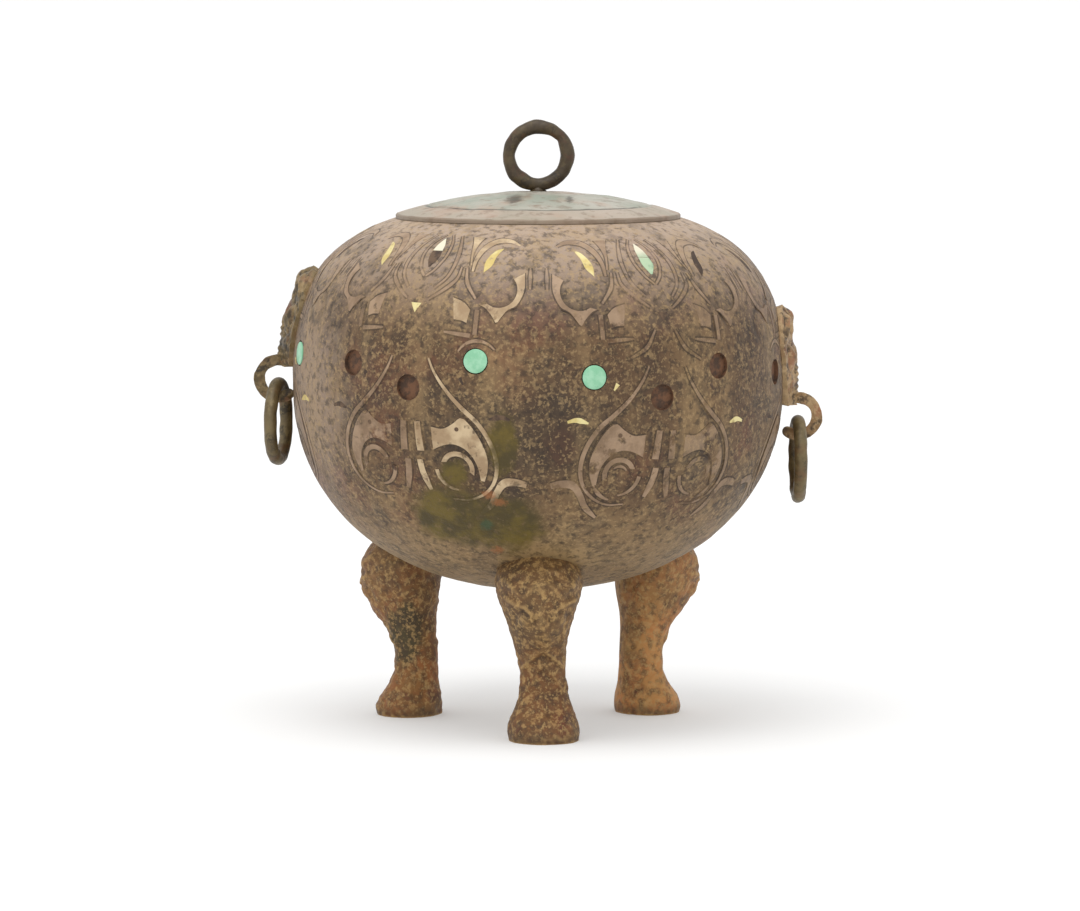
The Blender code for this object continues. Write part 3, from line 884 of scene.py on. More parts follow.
@dataclass
class Ornament:
    """Six like motifs round the wall, each mirrored about its axis, all leaning a little."""

    shape: BowlShape
    motifs: int = 6
    turn: float = math.radians(-0.8)
    lean: float = math.radians(2.2)
    shifts: tuple[float, ...] = tuple(math.radians(part) for part in (0.4, 1.4, 0.8, -0.6, 0.5, -0.3))
    lift: float = 0.00006
    thickness: float = 0.00026
    # Width in mm of the dark strip beside the inlay, a painted shadow of its edge with corrosion
    seam: float = 0.45
    eye: Span = (11.1, -21.0)
    volute: Span = (20.8, 30.0)
    lobe_dot: Span = (11.6, -9.6)
    heart_line: Line = ((4.8, 9.5), (6.2, 5.8), (9.2, 0.8), (13.0, -3.8), (16.4, -7.4),
                        (19.0, -12.0), (20.4, -16.6), (20.6, -21.0), (19.4, -25.4),
                        (16.6, -28.8), (12.8, -30.6), (8.6, -30.4))
    bright_half: tuple[int, int] = (0, 1)
    faint_halves: tuple[tuple[int, int], ...] = ((1, 1), (2, -1), (4, -1), (5, 1))

    def lower_bands(self) -> list[Band]:
        """The heart of two lobes, each with an eye, and the bars of its stem."""
        outer = ((5.3, -9.4), (8.2, -9.7), (10.6, -8.2), (12.8, -6.4), (15.2, -8.8),
                 (17.2, -12.6), (18.5, -17.0), (18.4, -21.0), (17.5, -24.4))
        inner = ((5.5, -15.8), (8.0, -14.4), (10.6, -13.9), (13.2, -15.0), (15.2, -17.6),
                 (16.2, -20.6), (16.6, -24.2))
        eye = self.eye
        return [
            stroke("heart line", self.heart_line, ((0, 0.5), (0.3, 1.25), (0.65, 1.2), (1, 0.4)),
                   steps=44),
            Band("lobe field", Metal.SILVER, outer, inner, steps=34, across=5),
            Band("eye crescent", Metal.SILVER, arc(eye, 5.1, -20, 160), arc(eye, 3.7, -12, 150)),
            stroke("eye inner line", arc(eye, 2.5, 45, 150), ((0, 0.4), (0.5, 0.8), (1, 0.4)),
                   steps=12),
            stroke("eye lower line", arc(eye, 6.5, 185, 265), ((0, 1.2), (0.5, 1.1), (1, 0.5)),
                   steps=16),
            Band("lobe dot", Metal.BED, arc(self.lobe_dot, 0.6, 90, 270),
                 arc(self.lobe_dot, 0.6, 90, -90), steps=8),
            stroke("lobe foot", arc(eye, 8.2, -75, -20), ((0, 0.5), (0.5, 1.3), (1, 0.4)), steps=14),
            stroke("upper bar", ((1.8, -8.2), (2.2, -16.4)), ((0, 1.8), (1, 2.2)), steps=10),
            stroke("lower bar", ((1.6, -19.0), (2.0, -23.0), (3.3, -28.0)),
                   ((0, 1.9), (0.6, 2.0), (1, 1.2)), steps=12),
            stroke("hook", ((27.6, -24.9), (25.2, -24.2), (22.2, -24.6), (20.2, -27.8),
                            (18.6, -31.6), (15.4, -35.2)),
                   ((0, 1.8), (0.25, 2.5), (0.45, 2.0), (0.8, 1.8), (1, 0.8)), steps=22),
        ]

    def shoulder_bands(self) -> list[Band]:
        """Leaves, volutes and their fields between the row of settings and the lid."""
        volute = self.volute
        bands = [
            Band("malachite tip", Metal.MALACHITE, ((-0.4, 48.6), (-1.4, 45.4), (-1.6, 42.6)),
                 ((-0.4, 48.6), (1.1, 45.4), (1.6, 42.6)), False, 12),
            Band("malachite foot", Metal.MALACHITE, ((-1.6, 42.4), (-1.5, 39.5), (-0.2, 36.2)),
                 ((1.6, 42.4), (1.8, 39.5), (0.3, 36.2)), False, 12),
            Band("gold leaf", Metal.GOLD, ((20.4, 45.0), (18.2, 43.8), (16.1, 39.6), (16.1, 35.2)),
                 ((20.4, 45.0), (18.8, 41.4), (18.0, 37.8), (16.1, 35.2))),
            stroke("leaf hood", ((25.0, 46.6), (22.0, 48.6), (18.0, 48.4), (14.9, 45.2),
                                 (13.3, 40.4), (13.1, 35.4)),
                   ((0, 0.6), (0.3, 2.4), (0.55, 2.2), (1, 0.7)), steps=26),
            Band("volute field", Metal.SILVER,
                 arc(volute, 5.5, 40, -125),
                 ((27.0, 35.6), (27.0, 30.0), (25.4, 25.6), (23.2, 24.0), (21.6, 21.6), (20.6, 20.2),
                  (19.6, 22.0), (17.8, 24.3), (16.4, 25.0)), steps=34, across=4),
            stroke("volute stem", ((11.4, 36.6), (12.4, 31.6), (15.2, 26.8)),
                   ((0, 0.6), (0.5, 1.1), (1, 0.6)), steps=14),
            Band("side field", Metal.SILVER, ((9.6, 26.8), (12.4, 25.6), (14.2, 23.6)),
                 ((10.4, 20.6), (12.2, 20.4), (13.6, 19.8)), steps=10),
            stroke("side bar", ((15.9, 23.6), (15.7, 16.6)), ((0, 1.3), (1, 1.2)), steps=8),
            stroke("side foot", ((14.6, 16.3), (8.2, 17.0)), ((0, 1.2), (0.6, 1.0), (1, 0.5)),
                   steps=10),
            stroke("border line", ((28.4, 37.6), (28.4, 30.4)), ((0, 0.5), (0.5, 1.1), (1, 0.6)),
                   steps=8),
            Band("hanging point", Metal.SILVER, ((9.2, 50.0), (10.4, 46.4), (11.2, 42.2), (12.0, 37.6)),
                 ((13.2, 49.8), (12.2, 46.4), (11.8, 42.2), (12.5, 37.6)), steps=16),
            stroke("leaf border", ((1.2, 50.6), (3.3, 46.4), (3.9, 41.0), (2.4, 36.0), (0.2, 33.0)),
                   ((0, 0.4), (0.4, 0.9), (1, 0.6)), steps=20),
            stroke("upper scroll", ((4.8, 50.4), (6.6, 45.6), (7.6, 40.0), (6.8, 33.6), (3.8, 29.2)),
                   ((0, 0.5), (0.4, 1.2), (1, 0.5)), steps=22),
            stroke("lower scroll", ((3.0, 25.8), (6.4, 28.8), (9.4, 32.6), (9.8, 36.8)),
                   ((0, 0.5), (0.5, 1.1), (1, 0.5)), steps=16),
            stroke("socket hood", arc((16.5, 8.6), 6.4, 40, 150), ((0, 0.4), (0.5, 1.0), (1, 0.4)),
                   steps=16),
            stroke("brow", ((2.6, 19.6), (5.2, 14.6), (9.6, 11.4)), ((0, 0.5), (0.5, 1.1), (1, 0.5)),
                   steps=14),
            Band("triangle", Metal.GOLD, ((-1.4, 24.6), (0.0, 21.8)), ((1.4, 24.6), (0.0, 21.8)),
                 False, 6),
            stroke("gold dash", ((19.2, -6.4), (21.8, -5.6), (24.0, -6.2)),
                   ((0, 0.5), (0.4, 1.6), (1, 0.7)), Metal.GOLD, steps=12),
            stroke("gold fleck", ((12.4, 4.6), (13.3, 2.8)), ((0, 1.2), (1, 0.4)), Metal.GOLD,
                   steps=6),
        ]
        return [replace(band, faded=band.is_line and band.name != "leaf hood") for band in bands]

    def is_lost(self, band: Band, motif: int, side: int) -> bool:
        """Whether a strip has fallen out, so that its bed is empty."""
        gone = {
            "triangle": motif in (1, 2, 4),
            "gold fleck": (motif, side) not in ((1, -1), (3, 1), (5, 1)),
            "gold dash": (motif, side) in ((0, 1), (0, -1), (2, -1), (4, 1), (3, -1)),
            "gold leaf": (motif, side) in ((1, 1), (2, -1), (3, -1), (4, 1), (5, 1)),
            "malachite tip": motif in (2, 4),
            "malachite foot": motif in (0, 2, 4, 5),
            "eye inner line": (motif, side) != (1, -1) and motif < 3,
            "hook": (motif, side) in ((0, -1), (2, 1), (4, -1), (5, 1)),
            "lobe foot": motif == 0,
            "socket hood": (motif + side) % 3 != 1,
            "brow": (motif, side) in ((0, 1), (0, -1), (3, 1)),
        }
        return gone.get(band.name, False)

    def place(self, flat: np.ndarray, motif: int, side: int, lift: float) -> np.ndarray:
        """Wrap flat points, in degrees and mm, on the wall at one half of a motif."""
        axis = self.turn + 2 * math.pi / self.motifs * (motif - 0.5) + self.shifts[motif]
        angle = axis + side * np.radians(flat[:, 0])
        way = flat[:, 1] * MM - self.shape.radius * np.sin(angle) * math.tan(self.lean)
        wall = self.shape.on_wall(angle, way, 0.0)
        raised = lift + self.shape.unevenness(wall) + flat[:, 2] * MM
        return self.shape.on_wall(angle, way, raised)

    def flat_band(self, band: Band, margin: float = 0.0) -> bpy.types.Object:
        """Model one strip flat, from a grid, in degrees and mm.

        Args:
            band: the strip.
            margin: how much wider than the strip it is on each side, in mm.

        Returns:
            The flat strip, its faces up.
        """
        bpy.ops.mesh.primitive_grid_add(x_subdivisions=band.steps, y_subdivisions=band.across, size=1)
        thing = name_new(band.name)
        points = points_of(thing)
        along, across = points[:, 0] + 0.5, (points[:, 1] + 0.5)[:, None]
        share = np.linspace(0, 1, 120)
        scale = np.array([math.radians(1) * self.shape.radius / MM, 1])
        near, far = (smooth_line(line, len(share)) * scale for line in (band.near, band.far))
        middle, half = (near + far) / 2, (near - far) / 2
        length = np.maximum(np.linalg.norm(half, axis=1, keepdims=True), 0.02)
        edges = []
        for sign in (1, -1):
            route = (middle + sign * half * (1 + margin / length)) / scale
            edges.append(np.column_stack([np.interp(along, share, line) for line in route.T]))
        flat = edges[0] * (1 - across) + edges[1] * across
        move_points(thing, np.column_stack([flat, np.zeros(len(flat))]))
        if sum(face.normal.z * face.area for face in thing.data.polygons) < 0:
            with editing(thing):
                bpy.ops.mesh.flip_normals()
        return thing

    def copies(self, band: Band, margin: float = 0.0) -> Iterator[tuple[bpy.types.Object, str]]:
        """One strip at each half of each motif.

        Args:
            band: the strip.
            margin: width of its seam in mm, or 0 for the strip itself.

        Yields:
            Each copy on the wall, with the name of its finish there.
        """
        flat = self.flat_band(band, margin)
        points = points_of(flat)
        for motif in range(self.motifs):
            for side in (1, -1) if band.mirrored else (1,):
                lost = self.is_lost(band, motif, side)
                if lost and (margin or band.metal is Metal.SILVER):
                    continue
                copy = put_in_scene(band.name, flat.data.copy())
                move_points(copy, self.place(points, motif, side, self.lift_of(band, lost, margin)))
                if side < 0:
                    with editing(copy):
                        bpy.ops.mesh.flip_normals()
                yield copy, self.finish_name(band, motif, side, lost, margin)
        bpy.data.objects.remove(flat)

    def lift_of(self, band: Band, lost: bool, margin: float) -> float:
        """How far a strip stands above the wall, least where it is an empty bed or a seam."""
        if lost or margin:
            return 0.5 * self.lift
        return 2.0 * self.lift if band.metal is Metal.BED else self.lift

    def finish_name(self, band: Band, motif: int, side: int, lost: bool, margin: float) -> str:
        """Name of the finish of one strip.

        Args:
            band: the strip.
            motif: number of its motif.
            side: 1 or -1, the half of the motif.
            lost: whether it has fallen out.
            margin: width of its seam, or 0 for the strip itself.

        Returns:
            The key of the finish.
        """
        if lost:
            return Metal.BED.value
        if margin:
            return Metal.SEAM.value
        if band.metal is not Metal.SILVER:
            return band.metal.value
        wear = self.wear(motif, side)
        return f"silver_{(wear.fainter if band.faded else wear).value}"

    def wear(self, motif: int, side: int) -> Wear:
        """How much of the pale inlay still shows at one half of a motif."""
        if (motif, side) == self.bright_half:
            return Wear.BRIGHT
        return Wear.FAINT if (motif, side) in self.faint_halves else Wear.WORN

    def finishes(self) -> dict[str, bpy.types.Material]:
        """The inlay's materials by name."""
        bright, dull = srgb(196, 173, 138), srgb(154, 128, 96)
        pink, earth = srgb(164, 137, 110), srgb(126, 101, 76)
        gold, deep = srgb(220, 207, 150), srgb(192, 170, 100)
        return {
            "silver_bright": InlayMetal("pale inlay, bright", bright, dull, 0.64, 0.06).build(),
            "silver_worn": InlayMetal("pale inlay, worn", pink, earth, 0.54, 0.22).build(),
            "silver_faint": InlayMetal("pale inlay, faint", pink, earth, 0.47, 0.56).build(),
            "gold": InlayMetal("gold inlay", gold, deep, 0.66, 0.05, 0.25).build(),
            "malachite": LeafStone().build(),
            "bed": EMPTY_BED.build(),
            # Dark strips with the painted shadow of the inlay's edges
            "seam": InlaySeamShade().build(),
        }

    def build(self) -> None:
        """Model all strips, gather them by finish and give them their thickness."""
        groups: dict[str, list[bpy.types.Object]] = {}
        for band in self.lower_bands() + self.shoulder_bands():
            for margin in (0.0, self.seam) if band.metal is Metal.SILVER else (0.0,):
                for piece, key in self.copies(band, margin):
                    groups.setdefault(key, []).append(piece)
        finishes = self.finishes()
        for key, pieces in groups.items():
            inlay = join(f"inlay_{key}", pieces)
            with editing(inlay):
                bpy.ops.mesh.remove_doubles(threshold=MERGE)
            thick = inlay.modifiers.new("Thickness", "SOLIDIFY")
            thick.thickness = self.thickness
            thick.offset = -1
            apply_modifier(inlay, thick)
            shade(inlay, 50)
            hand_in(inlay, finishes[key], "vessel")

    def grooves(self, points: np.ndarray) -> np.ndarray:
        """How deep, 0 to 1, the sunk lines beside the inlay run at places on the wall."""
        angle, way = self.shape.where(points)
        up = (way + self.shape.radius * np.sin(angle) * math.tan(self.lean)) / MM
        step = 2 * math.pi / self.motifs
        motif = np.floor((angle - self.turn) / step + 1).astype(int) % self.motifs
        turned = (angle - self.turn) % step - step / 2 - np.array(self.shifts)[motif]
        out = np.abs(np.degrees(turned)) * math.radians(1) * self.shape.radius / MM
        flat = np.stack([out, up], axis=1)
        depth = np.zeros(len(points))
        for line, width in self.groove_lines():
            route = smooth_line(line, 60) * (math.radians(1) * self.shape.radius / MM, 1)
            depth = np.maximum(depth, bump(distance_to(flat, route), width))
        return depth

    def groove_lines(self) -> list[tuple[Line, float]]:
        """The sunk lines, each with its half width in mm."""
        inside = [(u - 1.35, s - 0.6) for u, s in self.heart_line[1:9]]
        return [
            (inside, 0.75),
            (arc(self.eye, 6.4, -30, 200), 0.85),
            (((3.9, -9.0), (3.9, -16.0)), 0.7),
            (((0.0, -9.0), (0.0, -27.0)), 0.6),
            (((0.4, -17.6), (3.6, -17.8)), 0.6),
            (arc(self.volute, 5.0, 60, -150), 0.8),
            (((12.6, 35.0), (14.4, 29.6), (17.0, 25.4), (19.2, 20.6)), 0.7),
            (arc((25.0, 20.2), 4.4, -160, 160), 1.0),
            (((24.8, -26.4), (22.8, -27.4)), 1.4),
            (((14.4, 23.8), (14.4, 17.6)), 0.6),
        ]


def distance_to(points: np.ndarray, route: np.ndarray) -> np.ndarray:
    """Distance of flat points from a line of straight pieces."""
    best = np.full(len(points), 1e9)
    box_low, box_high = route.min(0) - 3, route.max(0) + 3
    close = np.all((points > box_low) & (points < box_high), axis=1)
    some = points[close]
    found = np.full(len(some), 1e9)
    for start, end in zip(route, route[1:]):
        along = end - start
        share = np.clip(((some - start) @ along) / max(along @ along, 1e-12), 0, 1)
        found = np.minimum(found, np.linalg.norm(some - start - share[:, None] * along, axis=1))
    best[close] = found
    return best


# Settings and stones

@dataclass
class Settings:
    """Round settings in a row round the wall, and the stones left in some of them."""

    shape: BowlShape
    ornament: Ornament
    stone_radius: float = 0.0033
    stone_thickness: float = 0.0011
    depth: float = 0.0012
    rises: Triple = (0.0063, 0.0010, 0.0094)
    low_setting: tuple[int, int] = (5, 1)
    low_drop: float = 0.0031
    spread: float = math.radians(16.5)
    kept: tuple[tuple[int, int], ...] = (
        (0, 1), (1, -1), (3, 0), (3, 1), (4, -1), (5, -1), (5, 1))
    insets: tuple[float, ...] = (0.00025, 0.0006, 0.0008, 0.0008)
    floor_reach: float = 1.02
    floor_depths: Span = (-0.0016, -0.0002)
    dome: float = 0.00022
    worn_rim: float = 0.00012

    @property
    def radius(self) -> float:
        """Radius of a setting."""
        return self.stone_radius + GAP

    def places(self) -> list[tuple[int, int]]:
        """Motif number and place in it of every setting; none is under a handle."""
        spots = [(motif, spot) for motif in range(self.ornament.motifs) for spot in (-1, 0, 1)]
        return [(motif, spot) for motif, spot in spots if spot or motif not in (2, 5)]

    def frame(self, motif: int, spot: int, depth: float) -> Matrix:
        """A frame whose +Z points out of the wall at one setting, sunk by a depth."""
        angle = self.ornament.turn + 2 * math.pi / self.ornament.motifs * (motif - 0.5)
        angle += spot * self.spread
        height = self.shape.equator + self.rises[spot + 1]
        height -= self.low_drop if (motif, spot) == self.low_setting else 0.0
        height -= self.shape.radius * math.sin(angle) * math.tan(self.ornament.lean)
        step = 0.001 * self.shape.radius
        low, high = self.shape.radius_at([height - step, height + step])
        outward = Vector((math.sin(angle), -math.cos(angle), (low - high) / (2 * step))).normalized()
        radius = float(self.shape.radius_at(height))
        base = Vector((radius * math.sin(angle), -radius * math.cos(angle), height))
        turn = outward.to_track_quat("Z", "Y").to_matrix().to_4x4()
        return Matrix.Translation(base - depth * outward) @ turn

    def cut(self, bowl: bpy.types.Object) -> None:
        """Sink all settings into the bowl."""
        cutters = []
        for motif, spot in self.places():
            bpy.ops.mesh.primitive_cylinder_add(vertices=40, radius=self.radius, depth=4 * self.depth)
            cutter = name_new("cutter")
            cutter.data.transform(Matrix.Translation((0, 0, 2 * self.depth)))
            cutter.data.transform(self.frame(motif, spot, self.depth))
            cutters.append(cutter)
        tool = join("settings", cutters)
        cut = bowl.modifiers.new("Settings", "BOOLEAN")
        cut.object = tool
        cut.operation = "DIFFERENCE"
        apply_modifier(bowl, cut)
        bpy.data.objects.remove(tool)

    def floors(self, bowl: bpy.types.Object) -> None:
        """Give the faces inside the settings the bowl's second material."""
        frames = [self.frame(motif, spot, 0.0) for motif, spot in self.places()]
        centres = np.array([face.center for face in bowl.data.polygons])
        inside = np.zeros(len(centres), bool)
        for frame in frames:
            local = (centres - np.array(frame.translation)) @ np.array(frame.to_3x3())
            reach = np.hypot(local[:, 0], local[:, 1])
            low, high = self.floor_depths
            inside |= (reach < self.floor_reach * self.radius) & (local[:, 2] < high) & (local[:, 2] > low)
        bowl.data.polygons.foreach_set("material_index", inside.astype(np.int32))

    def stone(self, number: int, motif: int, spot: int) -> bpy.types.Object:
        """One low-domed stone with a worn edge."""
        bpy.ops.mesh.primitive_cylinder_add(vertices=48, radius=self.stone_radius,
                                            depth=self.stone_thickness)
        thing = name_new(f"stone_{number}")
        with editing(thing):
            bpy.ops.mesh.select_all(action="DESELECT")
        for face in thing.data.polygons:
            face.select = face.normal.z > 0.9
        take(thing)
        bpy.ops.object.mode_set(mode="EDIT")
        bpy.ops.mesh.select_mode(type="FACE")
        for inset in self.insets:
            bpy.ops.mesh.inset(thickness=inset)
        bpy.ops.mesh.poke()
        bpy.ops.object.mode_set(mode="OBJECT")
        points = points_of(thing)
        reach = np.hypot(points[:, 0], points[:, 1]) / self.stone_radius
        upper = points[:, 2] > 0
        dome = self.dome * (1 - np.minimum(reach, 1) ** 2) - self.worn_rim * (reach > 0.97)
        points[:, 2] += np.where(upper, dome, 0) + self.stone_thickness / 2
        points[:, :2] *= (1 + 0.03 * ripple(points + number * 0.01, 0.006, 7))[:, None]
        move_points(thing, points)
        thing.data.transform(self.frame(motif, spot, self.depth - GAP))
        shade(thing, 50)
        return thing

    def build(self) -> None:
        """Model the stones, each in the place of its solid."""
        finish = TURQUOISE.build()
        for number, (motif, spot) in enumerate(self.kept, start=1):
            stone = self.stone(number, motif, spot)
            hand_in(stone, finish, "vessel", f"turquoise_{number}")


# Bowl and legs

@dataclass
class Bowl:
    """The hollow bowl with its seat for the lid."""

    shape: BowlShape
    ornament: Ornament
    settings: Settings
    columns: int = 540
    fine_step: float = 0.00084
    coarse_step: float = 0.0024
    fine_end: float = -0.046
    groove_depth: float = 0.00022
    near_wall: float = 0.0006
    seat_rim: float = 0.0004
    seat_ring: float = 0.0012

    def profile(self) -> list[Span]:
        """The wall's outline, from the base outside over the seat to the base inside."""
        shape = self.shape
        table = shape.meridian
        turn = shape.shoulder_turn(shape.seat_radius)
        seat_way = float(np.interp(shape.outline(turn)[1], table[2], table[0]))
        low = np.arange(table[0][0], self.fine_end, self.coarse_step)
        fine = np.linspace(self.fine_end, seat_way, round((seat_way - self.fine_end) / self.fine_step))
        ways = np.concatenate([low, fine])
        outside = np.stack([np.interp(ways, table[0], table[1]), np.interp(ways, table[0], table[2])])
        seat = shape.seat_height
        mouth_turn = shape.shoulder_turn(shape.mouth_radius, shape.wall)
        inner = shape.outline(np.linspace(mouth_turn, -QUARTER, 22), shape.wall)
        flat = [(shape.mouth_radius + self.seat_ring, seat), (shape.mouth_radius, seat)]
        points = list(outside.T) + flat + list(np.stack(inner).T)
        points[0] = (0.0, points[0][1])
        points[-1] = (0.0, points[-1][1])
        return [(float(radius), float(height)) for radius, height in points]

    def build(self) -> None:
        """Turn the wall, weather it, sink its grooves and settings, and dress it."""
        bowl = spun("bowl", self.profile(), self.columns)
        points = points_of(bowl)
        radial = np.hypot(points[:, 0], points[:, 1])
        middle = points - (0, 0, self.shape.equator)
        outside = (normals_of(bowl) * middle).sum(axis=1) > 0
        outside &= np.abs(radial - self.shape.radius_at(points[:, 2])) < self.near_wall
        sunk = np.where(outside, self.ornament.grooves(points), 0.0)
        worn = 0.55 + 0.45 * ripple(points, 0.011, 9)
        lift = self.shape.unevenness(points) - self.groove_depth * sunk * np.clip(worn, 0.2, 1)
        seated = points[:, 2] > self.shape.seat_height - self.seat_rim
        push_out(bowl, np.where(outside & ~seated, lift, 0))
        groove = bowl.data.attributes.new("groove", "FLOAT", "POINT")
        groove.data.foreach_set("value", (sunk * np.clip(worn, 0.25, 1)).astype(np.float32))
        self.settings.cut(bowl)
        bowl.data.materials.clear()
        shade(bowl, 35)
        hand_in(bowl, WallPatina().build(), "vessel", "vessel")
        bowl.data.materials.append(SETTING_CRUST.build())
        self.settings.floors(bowl)


@dataclass
class Leg:
    """A cabriole leg, its knee carved as an animal mask, its foot a hoof."""

    shape: BowlShape
    number: int
    name: str
    knee_shift: float
    knee_reach: float
    circle: float = 0.0390
    turn: float = math.radians(4.3)
    offset: float = -0.0014
    foot: float = 0.0102
    ankle: float = 0.0067
    knee: float = 0.0126
    brow_height: float = 0.0010
    brow_width: float = 0.0013
    sides: int = 120
    rows: int = 150
    bury: float = 0.0012

    @cached_property
    def top(self) -> float:
        """Height at which the leg's middle meets the belly."""
        return float(self.shape.belly_height(self.circle))

    def form(self) -> np.ndarray:
        """Height, half width, front reach and back reach of the leg, from the sole up."""
        foot, ankle, knee = self.foot, self.ankle, self.knee
        rows = (
            (0.00, foot, 0.94, 0.98, 0.78), (0.012, foot, 0.975, 1.02, 0.80),
            (0.04, foot, 0.99, 1.04, 0.81), (0.11, foot, 0.95, 0.92, 0.79),
            (0.19, foot, 0.80, 0.58, 0.76), (0.28, ankle, 1.01, 0.58, 1.17),
            (0.39, ankle, 0.95, 0.64, 1.17), (0.50, ankle, 1.01, 0.88, 1.09),
            (0.60, ankle, 1.13, 1.50, 1.06), (0.665, ankle, 1.27, 1.90, 1.10),
            (0.705, knee, 0.71, 1.13, 0.61), (0.76, knee, 0.79, 1.18, 0.62),
            (0.82, knee, 0.87, 1.20, 0.60), (0.86, knee, 0.92, 1.21, 0.60),
            (0.95, knee, 0.985, 1.19, 0.62), (1.03, knee, 0.92, 1.02, 0.62),
            (1.12, knee, 0.64, 0.66, 0.55))
        return np.array([(share * self.top, *(size * part for part in parts))
                         for share, size, *parts in rows])

    def relief(self, side: np.ndarray, high: np.ndarray, half: np.ndarray) -> np.ndarray:
        """Carving of the knee: brows that curl in, eyes, a wrinkled snout and a beard.

        Args:
            side: place across the leg, -1 to 1.
            high: height as a share of the leg's top.
            half: half width of the leg there.

        Returns:
            Lift of the surface at each place.
        """
        out = np.abs(side)

        def away(place: float, level: float) -> np.ndarray:
            """Distance from a place across the leg at a level, both as shares."""
            return np.hypot((out - place) * half, (high - level) * self.top)

        def fold(level: np.ndarray, width: float) -> np.ndarray:
            """A ridge along a level that may bend with the place across the leg."""
            return bump((high - level) * self.top, width)

        brow_line = 0.82 + 0.10 * (out - 0.4) - 0.05 * bump(out - 0.28, 0.07)
        brow = fold(brow_line, self.brow_width) * ease(out, 0.16, 0.30)
        curl = bump(away(0.32, 0.795), 0.0010)
        lid_line = fold(brow_line - 0.050, 0.0006) * ease(out, 0.28, 0.40)
        eye = bump(away(0.50, 0.745), 0.0017)
        socket = bump(away(0.50, 0.745) - 0.0025, 0.0007)
        nose = bump(side * half, 0.0019) * ease(high, 0.54, 0.64) * ease(high, 0.90, 0.78)
        nostril = bump(away(0.24, 0.590), 0.0011)
        wrinkle = fold(0.655 - 0.10 * out, 0.0006) * ease(out, 0.65, 0.4)
        lip = fold(0.56 - 0.14 * out, 0.0010)
        beard = fold(0.47 - 0.22 * out, 0.0009)
        forehead = fold(0.94 + 0.05 * np.cos(7 * out), 0.0013)
        crest = bump(side * half, 0.0012) * ease(high, 0.86, 0.92)
        hair = np.sin(out * 26 + high * 30) * ease(out, 0.66, 0.84) * ease(high, 0.58, 0.68)
        carved = (self.brow_height * brow + 0.0007 * curl + 0.0003 * lid_line + 0.0008 * eye
                  - 0.0005 * socket + 0.0006 * nose + 0.0005 * nostril + 0.0003 * wrinkle
                  + 0.0007 * lip + 0.0003 * beard + 0.0005 * forehead + 0.0004 * crest
                  + 0.00018 * hair * ease(1.08 - high, 0.0, 0.1))
        return carved * np.minimum(1.0, 4 * (1 - out))

    def blank(self) -> bpy.types.Object:
        """A cylinder, its sides cut into rows."""
        bpy.ops.mesh.primitive_cylinder_add(vertices=self.sides, radius=1, depth=1)
        leg = name_new(self.name)
        with editing(leg):
            bpy.ops.mesh.select_all(action="DESELECT")
            shape = bmesh.from_edit_mesh(leg.data)
            bpy.ops.mesh.select_mode(type="EDGE")
            for edge in shape.edges:
                edge.select = abs(edge.verts[0].co.z - edge.verts[1].co.z) > 0.5
            bmesh.update_edit_mesh(leg.data)
            bpy.ops.mesh.subdivide(number_cuts=self.rows)
        return leg

    def shaped(self, points: np.ndarray) -> np.ndarray:
        """Places of the blank's points on the carved and weathered leg, upright at +X."""
        form = self.form()
        height = (points[:, 2] + 0.5) * form[-1, 0]
        half, front, back = (np.interp(height, form[:, 0], form[:, i]) for i in (1, 2, 3))
        half, front, back = (smoothed(height, values, 0.0011) for values in (half, front, back))
        knee = np.clip((height / self.top - 0.35) / 0.35, 0.0, 1.0)
        front = front * (1 + (self.knee_reach - 1) * knee)
        angle = np.arctan2(points[:, 1], points[:, 0])
        facing = np.cos(angle) > 0
        across = half * np.sin(angle)
        depth = np.where(facing, front, back) * np.cos(angle)
        carved = self.relief(np.sin(angle), height / self.top, half)
        carved *= ease(np.cos(angle), 0.0, 0.15)
        scale = 1 + carved / np.hypot(across, depth)
        across = across * scale + self.knee_shift * knee
        shaped = np.stack([self.circle + depth * scale, across, height], axis=1)
        shaped[:, :2] += (0.00016 * ripple(shaped, 0.006, 20 + self.number)
                          + 0.00012 * ripple(shaped, 0.0022, 30 + self.number))[:, None]
        return shaped

    def build(self, finish: bpy.types.Material) -> None:
        """Shape the leg, put it in its place under the belly and dress it."""
        leg = self.blank()
        turn = -QUARTER + self.turn + 2 * math.pi * self.number / 3
        place = Matrix.Translation((self.offset, 0, 0)) @ Matrix.Rotation(turn, 4, "Z")
        shaped = self.shaped(points_of(leg))
        placed = shaped @ np.array(place.to_3x3()).T + np.array(place.translation)
        reach = np.hypot(placed[:, 0], placed[:, 1])
        placed[:, 2] = np.minimum(placed[:, 2], self.shape.belly_height(reach, self.bury))
        move_points(leg, placed)
        shade(leg, 50)
        hand_in(leg, finish, "vessel", "vessel")


def smoothed(place: np.ndarray, values: np.ndarray, width: float) -> np.ndarray:
    """Values along a line with their kinks rounded over a width."""
    order = np.argsort(place, kind="stable")
    even = np.linspace(place.min(), place.max(), 600)
    table = np.interp(even, place[order], values[order])
    reach = max(1, int(width / (even[1] - even[0])))
    weights = np.hanning(2 * reach + 3)[1:-1]
    padded = np.pad(table, reach, mode="edge")
    soft = np.convolve(padded, weights / weights.sum(), mode="valid")
    return np.interp(place, even, soft)


# Lid

